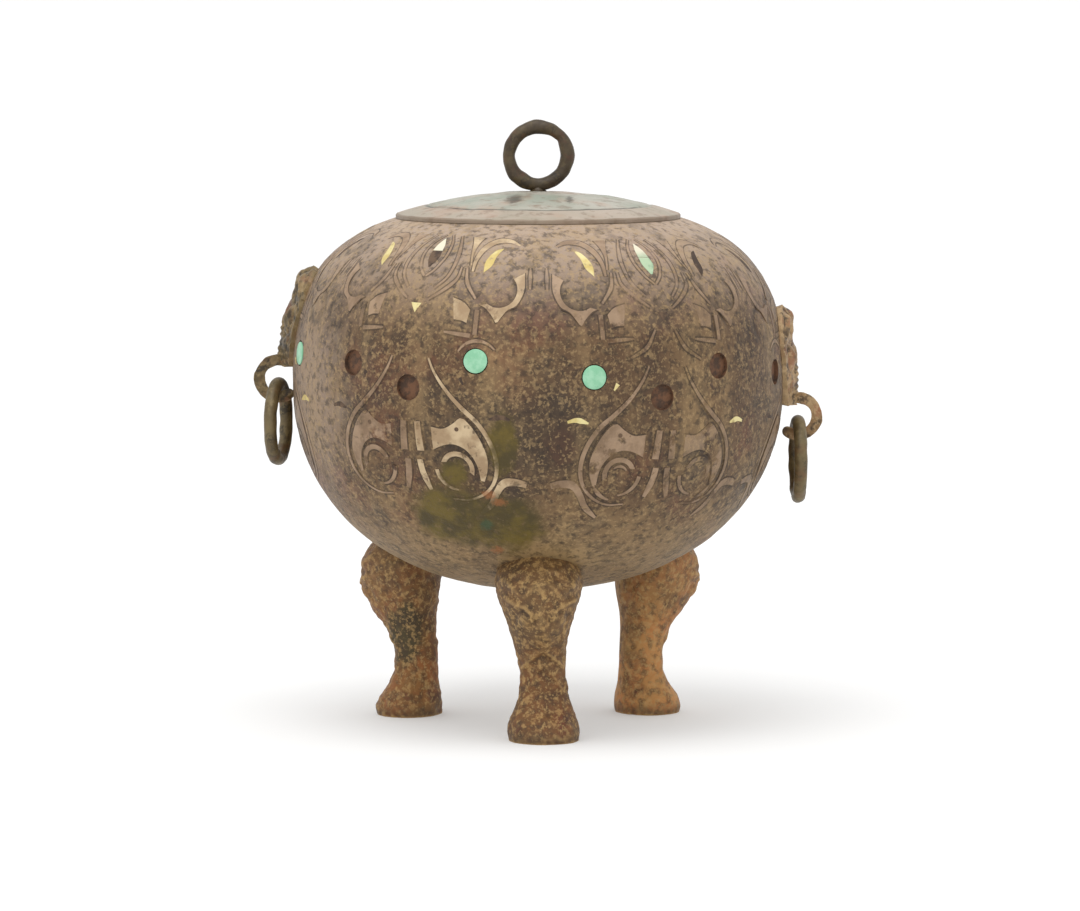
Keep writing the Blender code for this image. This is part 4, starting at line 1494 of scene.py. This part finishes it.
@dataclass
class Lid:
    """Low domed lid with a flange inside and the ring that is cast on it."""

    shape: BowlShape
    radius: float = 0.0404
    crown: float = 0.0063
    thickness: float = 0.0022
    edge: float = 0.0010
    flange_wall: float = 0.0020
    flange_depth: float = 0.0055
    flange_clearance: float = 0.0006
    ring_radius: float = 0.0083
    ring_wire: float = 0.0020
    foot_radius: float = 0.0062
    foot_height: float = 0.0030
    sink: float = 0.0002
    line_radius: float = LidPatina.line_radius
    line_depth: float = 0.00028
    line_width: float = 0.0005
    edge_drop: float = 0.0002
    edge_soft: float = 0.0003

    @property
    def base(self) -> float:
        """Height of the lid's under edge."""
        return self.shape.seat_height + GAP

    @property
    def top(self) -> float:
        """Height of the crown's middle."""
        return self.base + self.edge + self.crown

    def dome(self, radius: float, drop: float = 0.0) -> float:
        """Height of the crown at a radius, a shallow ball shape with a thin sunk line."""
        ball = (self.radius ** 2 + self.crown ** 2) / (2 * self.crown)
        line = self.line_depth * bump(radius - self.line_radius, self.line_width)
        return self.top - drop - ball + math.sqrt(ball ** 2 - radius ** 2) - (0 if drop else line)

    def cap(self) -> bpy.types.Object:
        """The domed cap, its edge and its flange."""
        outer = self.shape.mouth_radius - self.flange_clearance
        inner = outer - self.flange_wall
        soft = self.edge_soft
        crown = [(r, self.dome(r)) for r in np.linspace(0, self.radius - soft, 96)]
        low = self.base - self.edge_drop
        edge = [(self.radius, self.dome(self.radius) - soft), (self.radius, low + 0.2 * soft),
                (self.radius - 0.2 * soft, low), (outer, low)]
        flange = [(outer, self.base - self.flange_depth), (inner, self.base - self.flange_depth)]
        under = [(r, self.dome(r, self.thickness)) for r in np.linspace(inner, 0, 14)]
        cap = spun("lid_cap", crown + edge + flange + under, 256)
        points = points_of(cap)
        upper = points[:, 2] > self.base + 2 * soft
        lift = 0.00010 * ripple(points, 0.014, 41) + 0.00004 * ripple(points, 0.004, 42)
        push_out(cap, np.where(upper, lift, 0))
        return cap

    def boss(self) -> bpy.types.Object:
        """The low foot, hollow-sided, that the ring is cast on."""
        foot = self.top - 0.5 * self.thickness
        rise = self.foot_height + 0.5 * self.thickness
        turns = np.linspace(0.12, 1, 12) * QUARTER
        flare = [(self.foot_radius * (1 - math.cos(t)), foot + rise * (1 - math.sin(t))) for t in turns]
        flare = [(radius + 0.5 * self.ring_wire * (1 - i / 11), height)
                 for i, (radius, height) in enumerate(flare)]
        return spun("ring_boss", [(0.0, foot + rise)] + flare + [(0.0, foot)], 64)

    def ring(self) -> bpy.types.Object:
        """The upright ring, a little uneven."""
        bpy.ops.mesh.primitive_torus_add(major_segments=112, minor_segments=32,
                                         major_radius=self.ring_radius, minor_radius=self.ring_wire)
        ring = name_new("lid_ring")
        ring.data.transform(Matrix.Rotation(QUARTER, 4, "X"))
        points = points_of(ring)
        angle = np.arctan2(points[:, 2], points[:, 0])
        middle = self.ring_radius * np.stack([np.cos(angle), 0 * angle, np.sin(angle)], axis=1)
        wire = points - middle
        swell = 1 + 0.07 * np.cos(3 * angle + 0.6) + 0.05 * np.cos(5 * angle - 1.0)
        swell -= 0.05 + 0.16 * bump(angle - math.radians(38), 0.12) * (wire @ (-0.79, 0, -0.61) > 0)
        wire *= swell[:, None]
        middle *= (1 - 0.012 * np.cos(2 * angle + 2.3) - 0.010)[:, None]
        shaped = middle + wire
        shaped += normals_of(ring) * (0.00008 * ripple(points, 0.0035, 43))[:, None]
        centre = self.top + self.ring_radius + self.ring_wire - self.sink
        move_points(ring, shaped + (0, 0, centre))
        return ring

    def build(self) -> None:
        """Model the lid and dress its cap and its ring."""
        cap = self.cap()
        shade(cap, 35)
        hand_in(cap, LidPatina().build(), "vessel", "lid")
        ring = join("lid_ring", [self.ring(), self.boss()])
        shade(ring, 60)
        dark = HandledBronze("lid ring bronze", srgb(54, 42, 28), srgb(84, 70, 44),
                             srgb(84, 46, 30), srgb(34, 27, 20), 0.35, 0.5)
        hand_in(ring, dark.build(), "vessel", "lid")


# Handles

@dataclass
class Handle:
    """An animal mask, the loop that its trunk turns into, and the loose ring in it."""

    shape: BowlShape
    side: str
    loop_rise: float
    ring_turn: float
    mask_finish: HandledBronze
    ring_finish: HandledBronze
    loop_standoff: float = 0.0042
    loop_radius: float = 0.0053
    loop_wire: float = 0.0016
    loop_start: float = math.radians(97)
    mask_height: float = 0.0265
    mask_drop: float = 0.0036
    half_width: float = 0.0130
    nose_half_width: float = 0.0042
    crown: float = 0.0012
    edge: float = 0.0009
    relief: float = 0.0031
    widest: float = 0.35
    ring_radius: float = 0.0107
    ring_wire: float = 0.0019

    @property
    def outward(self) -> int:
        """-1 for the handle at -X, 1 for the one at +X."""
        return -1 if self.side == "left" else 1

    @property
    def circle(self) -> float:
        """Distance of the loop's centre from the bowl's axis."""
        return self.shape.radius + self.loop_standoff

    @property
    def loop_height(self) -> float:
        """Height of the loop's centre."""
        return self.shape.equator + self.loop_rise

    def width_at(self, share: np.ndarray) -> np.ndarray:
        """Half width of the mask from its brow (0) to its nose (1)."""
        upper = np.sqrt(np.maximum(1 - ((self.widest - share) / 0.42) ** 2, 0.0))
        below = np.clip((share - self.widest) / (1 - self.widest), 0, 1)
        lower = self.half_width - (self.half_width - self.nose_half_width) * below ** 1.3
        return np.where(share < self.widest, self.half_width * upper, lower)

    def carving(self, side: np.ndarray, share: np.ndarray) -> np.ndarray:
        """Carving as a share of the relief: crest, horns, eyes, cheeks and a ridged trunk."""
        out = np.abs(side)
        dome = 0.42 * (1 - out ** 2)
        crest = 0.50 * bump(side, 0.24) * bump(share - 0.12, 0.11)
        horn_line = 0.33 - 0.22 * np.sin(np.pi * np.minimum(1.0, out / 1.1)) ** 2
        horn = 0.46 * bump(share - horn_line, 0.070) * np.clip(3 * (out - 0.10), 0, 1)
        horn = horn * np.minimum(1.0, 4 * (1 - out))
        groove = 0.12 * bump(share - horn_line + 0.085, 0.022) * ease(out, 0.15, 0.35)
        brow_cut = 0.10 * bump(share - horn_line - 0.085, 0.020) * ease(out, 0.15, 0.35)
        away = np.hypot(out - 0.50, 1.6 * (share - 0.50))
        eye = 0.46 * bump(away, 0.20) - 0.22 * bump(away - 0.27, 0.05) + 0.10 * bump(away, 0.08)
        bridge = np.clip((share - 0.28) / 0.25, 0, 1)
        nose = 0.55 * bump(side, 0.20 + 0.30 * np.maximum(0.0, share - 0.55)) * bridge
        rings = 0.06 * np.sin(share * 95) * ease(share, 0.54, 0.60) * bump(side, 0.55)
        cheek = 0.25 * bump(out - 0.60, 0.22) * bump(share - 0.76, 0.12)
        hair = 0.04 * np.sin(40 * out + 22 * share) * ease(out, 0.62, 0.85) * ease(out, 1.0, 0.9)
        lump = np.minimum(1.0, dome + crest + horn + eye + nose + cheek)
        return lump + rings + hair - groove - brow_cut

    def mask(self) -> bpy.types.Object:
        """The mask: a carved front grid, and a back against the wall bridged to it."""
        bpy.ops.mesh.primitive_grid_add(x_subdivisions=80, y_subdivisions=150, size=1)
        front = name_new("mask_front")
        flat = points_of(front)
        side, share = 2 * flat[:, 0], 0.5 - flat[:, 1]
        move_points(front, self.mask_places(side, share, self.front_lift(side, share)))
        bpy.ops.object.duplicate()
        back = name_new("mask_back")
        move_points(back, self.mask_places(side, share, np.full(len(side), -GAP)))
        with editing(back):
            bpy.ops.mesh.flip_normals()
        mask = join("mask", [front, back])
        with editing(mask):
            bpy.ops.mesh.select_all(action="DESELECT")
            bpy.ops.mesh.select_non_manifold(extend=False)
            bpy.ops.mesh.bridge_edge_loops()
        merge_and_face_out(mask)
        return mask

    def front_lift(self, side: np.ndarray, share: np.ndarray) -> np.ndarray:
        """Lift of the mask's front above the wall."""
        fade = np.minimum(1.0, 9 * share + 0.30)
        return GAP + self.edge + self.relief * fade * self.carving(side, share)

    def mask_places(self, side: np.ndarray, share: np.ndarray, lift: np.ndarray) -> np.ndarray:
        """Places of the mask's points, on the +X side."""
        scallop = 0.5 * (1 + np.cos(2.6 * math.pi * side)) * (1 - 0.5 * side ** 2)
        height = self.loop_height + self.mask_drop + self.mask_height * (1 - share)
        height = height + self.crown * scallop * (1 - share) ** 3
        step = 0.001 * self.shape.radius
        fall = (self.shape.radius_at(height - step) - self.shape.radius_at(height + step)) / (2 * step)
        length = np.hypot(1.0, fall)
        out = self.shape.radius_at(height) + lift / length
        angle = side * self.width_at(share) / self.shape.radius
        return np.stack([out * np.cos(angle), out * np.sin(angle), height + lift * fall / length],
                        axis=1)

    def loop(self) -> bpy.types.Object:
        """The round loop, spun from a circle about its centre until it meets the wall."""
        end = -math.acos(-(self.loop_standoff - GAP) / (self.loop_radius + self.loop_wire))
        start = self.loop_start
        bpy.ops.mesh.primitive_circle_add(vertices=28, radius=self.loop_wire, fill_type="NGON")
        loop = name_new("loop")
        loop.data.transform(Matrix.Rotation(QUARTER, 4, "X"))
        loop.data.transform(Matrix.Translation((self.loop_radius, 0, 0)))
        loop.data.transform(Matrix.Rotation(-start, 4, "Y"))
        with editing(loop):
            bpy.ops.mesh.spin(steps=54, angle=end - start, center=(0, 0, 0), axis=(0, 1, 0))
        points = points_of(loop)
        turn = np.arctan2(points[:, 2], points[:, 0])
        middle = self.loop_radius * np.stack([np.cos(turn), 0 * turn, np.sin(turn)], axis=1)
        wire = (points - middle) * (0.96 + 0.05 * np.cos(4 * turn + 1))[:, None]
        shaped = middle + wire + (self.circle, 0, self.loop_height)
        move_points(loop, shaped)
        merge_and_face_out(loop)
        return loop

    def ring(self) -> bpy.types.Object:
        """The loose ring, hanging plumb in the loop."""
        bpy.ops.mesh.primitive_torus_add(major_segments=120, minor_segments=32,
                                         major_radius=self.ring_radius, minor_radius=self.ring_wire)
        ring = name_new(f"drop_ring_{self.side}")
        ring.data.transform(Matrix.Rotation(QUARTER, 4, "Y"))
        points, normals = points_of(ring), normals_of(ring)
        angle = np.arctan2(points[:, 2], points[:, 1])
        top = bump(angle - QUARTER, 0.5)
        lift = (0.00009 * ripple(points, 0.004, 51) - 0.00006) * (1 - top)
        points = points + normals * lift[:, None] - (0, 0, self.ring_radius)
        ring_turn = Matrix.Rotation(self.ring_turn, 4, "Z")
        drop = self.loop_radius - self.loop_wire - self.ring_wire - GAP
        pivot = Vector((self.outward * self.circle, 0.0, self.loop_height - drop))
        move_points(ring, points)
        ring.data.transform(Matrix.Translation(pivot) @ ring_turn)
        return ring

    def build(self) -> None:
        """Model mask, loop and ring, and dress them."""
        carved = join(f"mask_handle_{self.side}", [self.mask(), self.loop()])
        points = points_of(carved)
        near_wall = self.shape.radius_at(points[:, 2]) + 2 * GAP
        rough = 0.00020 * ripple(points, 0.0045, 61) + 0.00009 * ripple(points, 0.0018, 62)
        push_out(carved, np.where(np.hypot(points[:, 0], points[:, 1]) > near_wall, rough, 0))
        if self.outward < 0:
            carved.data.transform(Matrix.Rotation(math.pi, 4, "Z"))
        shade(carved, 60)
        hand_in(carved, self.mask_finish.build(), "vessel", f"mask_{self.side}")
        ring = self.ring()
        shade(ring, 60)
        body = f"ring_{self.side}"
        hand_in(ring, self.ring_finish.build(), body, body)


# Studio

@dataclass(frozen=True)
class Studio:
    """Pale floor, white surroundings, soft lights and the camera."""

    camera_height: float = 0.222
    camera_distance: float = 1.645
    aim_height: float = 0.0764
    aim_side: float = 0.0005
    lens: float = 193.2
    sensor: float = 36.0
    floor_glow: float = 0.20
    # Painted shadow: the floor's colour round the vessel, darker than further out
    floor_shadowed: Colour = (0.69, 0.69, 0.685)
    floor_far: Colour = (0.80, 0.80, 0.80)
    floor_shadow_fade: Span = (0.15, 0.60)
    floor_size: float = 80.0
    surround: float = 1.02
    lit_height: float = 0.09
    # Name, place, side and power of each softbox
    softboxes: tuple[tuple[str, Triple, float, float], ...] = (
        ("top softbox", (-0.10, -0.30, 0.95), 0.6, 3.9),
        ("front softbox", (-0.5, -1.2, 0.7), 0.5, 0.8))

    def floor(self) -> None:
        """A wide pale floor, darker round the vessel by a painted shadow."""
        bpy.ops.mesh.primitive_grid_add(x_subdivisions=8, y_subdivisions=8, size=self.floor_size)
        floor = name_new("floor")
        graph = NodeGraph("pale floor with painted shadow", self.floor_shadowed)
        # Painted shadow fading out from the vessel into the plain floor
        graph.coat(self.floor_far, graph.step(graph.radius(), *self.floor_shadow_fade))
        graph.fed(graph.shader, Emission_Color=WHITE, Emission_Strength=self.floor_glow)
        floor.data.materials.append(graph.finish(0.9))

    def lights(self) -> None:
        """Square soft lights that face the vessel's middle."""
        for name, place, size, power in self.softboxes:
            light = bpy.data.lights.new(name, "AREA")
            light.size = size
            light.energy = power
            aim(put_in_scene(name, light), place, (0, 0, self.lit_height))

    def surroundings(self) -> None:
        """Even white light from all round."""
        world = bpy.data.worlds.new("white surroundings")
        world.use_nodes = True
        background = world.node_tree.nodes["Background"]
        background.inputs["Color"].default_value = (*WHITE, 1.0)
        background.inputs["Strength"].default_value = self.surround
        bpy.context.scene.world = world

    def camera(self) -> None:
        """The camera at the photograph's place, looking slightly down."""
        data = bpy.data.cameras.new("camera")
        data.lens = self.lens
        data.sensor_width = self.sensor
        camera = put_in_scene("camera", data)
        aim(camera, (self.aim_side, -self.camera_distance, self.camera_height),
            (self.aim_side, 0, self.aim_height))
        bpy.context.scene.camera = camera

    def build(self) -> None:
        """Set up the studio."""
        self.camera()
        self.floor()
        self.surroundings()
        self.lights()
        bpy.context.scene.view_settings.view_transform = "Standard"


# Handing in

def hand_in(piece: bpy.types.Object, finish: bpy.types.Material, body: str,
            node: str | None = None) -> None:
    """Dress a piece and join it to the frame.

    Args:
        piece: the finished piece, its place in its mesh.
        finish: its material.
        body: the body that it moves with.
        node: the solid that it stands for, if it stands for one.
    """
    piece.data.materials.clear()
    piece.data.materials.append(finish)
    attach(piece, body)
    if node:
        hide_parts(node)
    triangles = sum(len(face.vertices) - 2 for face in piece.data.polygons)
    log.info("%s rides on %s, %d triangles", piece.name, body, triangles)


def main() -> None:
    """Build the studio and the vessel, sub-assembly by sub-assembly."""
    logging.basicConfig(level=logging.INFO, format="%(message)s")
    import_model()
    deselect_all()
    Studio().build()
    shape = BowlShape()
    ornament = Ornament(shape)
    settings = Settings(shape, ornament)
    Bowl(shape, ornament, settings).build()
    ornament.build()
    settings.build()
    legs = (
        ("front", -0.0014, 1.0, srgb(104, 73, 37), srgb(112, 70, 31), None),
        ("right", 0.0, 1.10, srgb(178, 130, 72), srgb(182, 118, 60), None),
        ("left", 0.0, 0.97, srgb(130, 90, 42), srgb(137, 81, 34), (-0.0385, 0.0100, 0.0245)))
    for number, (side, knee_shift, knee_reach, ochre, orange, green) in enumerate(legs):
        finish = LegPatina(f"{side} leg patina", ochre, orange, green_place=green).build()
        Leg(shape, number, f"leg_{side}", knee_shift, knee_reach).build(finish)
    Lid(shape).build()
    ring = HandledBronze("drop ring bronze", srgb(78, 64, 38), srgb(120, 104, 68),
                         srgb(98, 58, 32), srgb(36, 28, 16))
    olive = HandledBronze("left mask bronze", srgb(74, 60, 32), srgb(138, 116, 78),
                          srgb(112, 64, 38), srgb(28, 21, 11), rusted=0.6, grain=1.2)
    tan = HandledBronze("right mask bronze", srgb(122, 92, 55), srgb(176, 148, 108),
                        srgb(136, 78, 52), srgb(48, 33, 18), rusted=0.6, grain=1.1)
    Handle(shape, "left", 0.0003, math.radians(-10), olive, ring).build()
    Handle(shape, "right", -0.0105, math.radians(2), tan, ring).build()


if __name__ == "__main__":
    main()
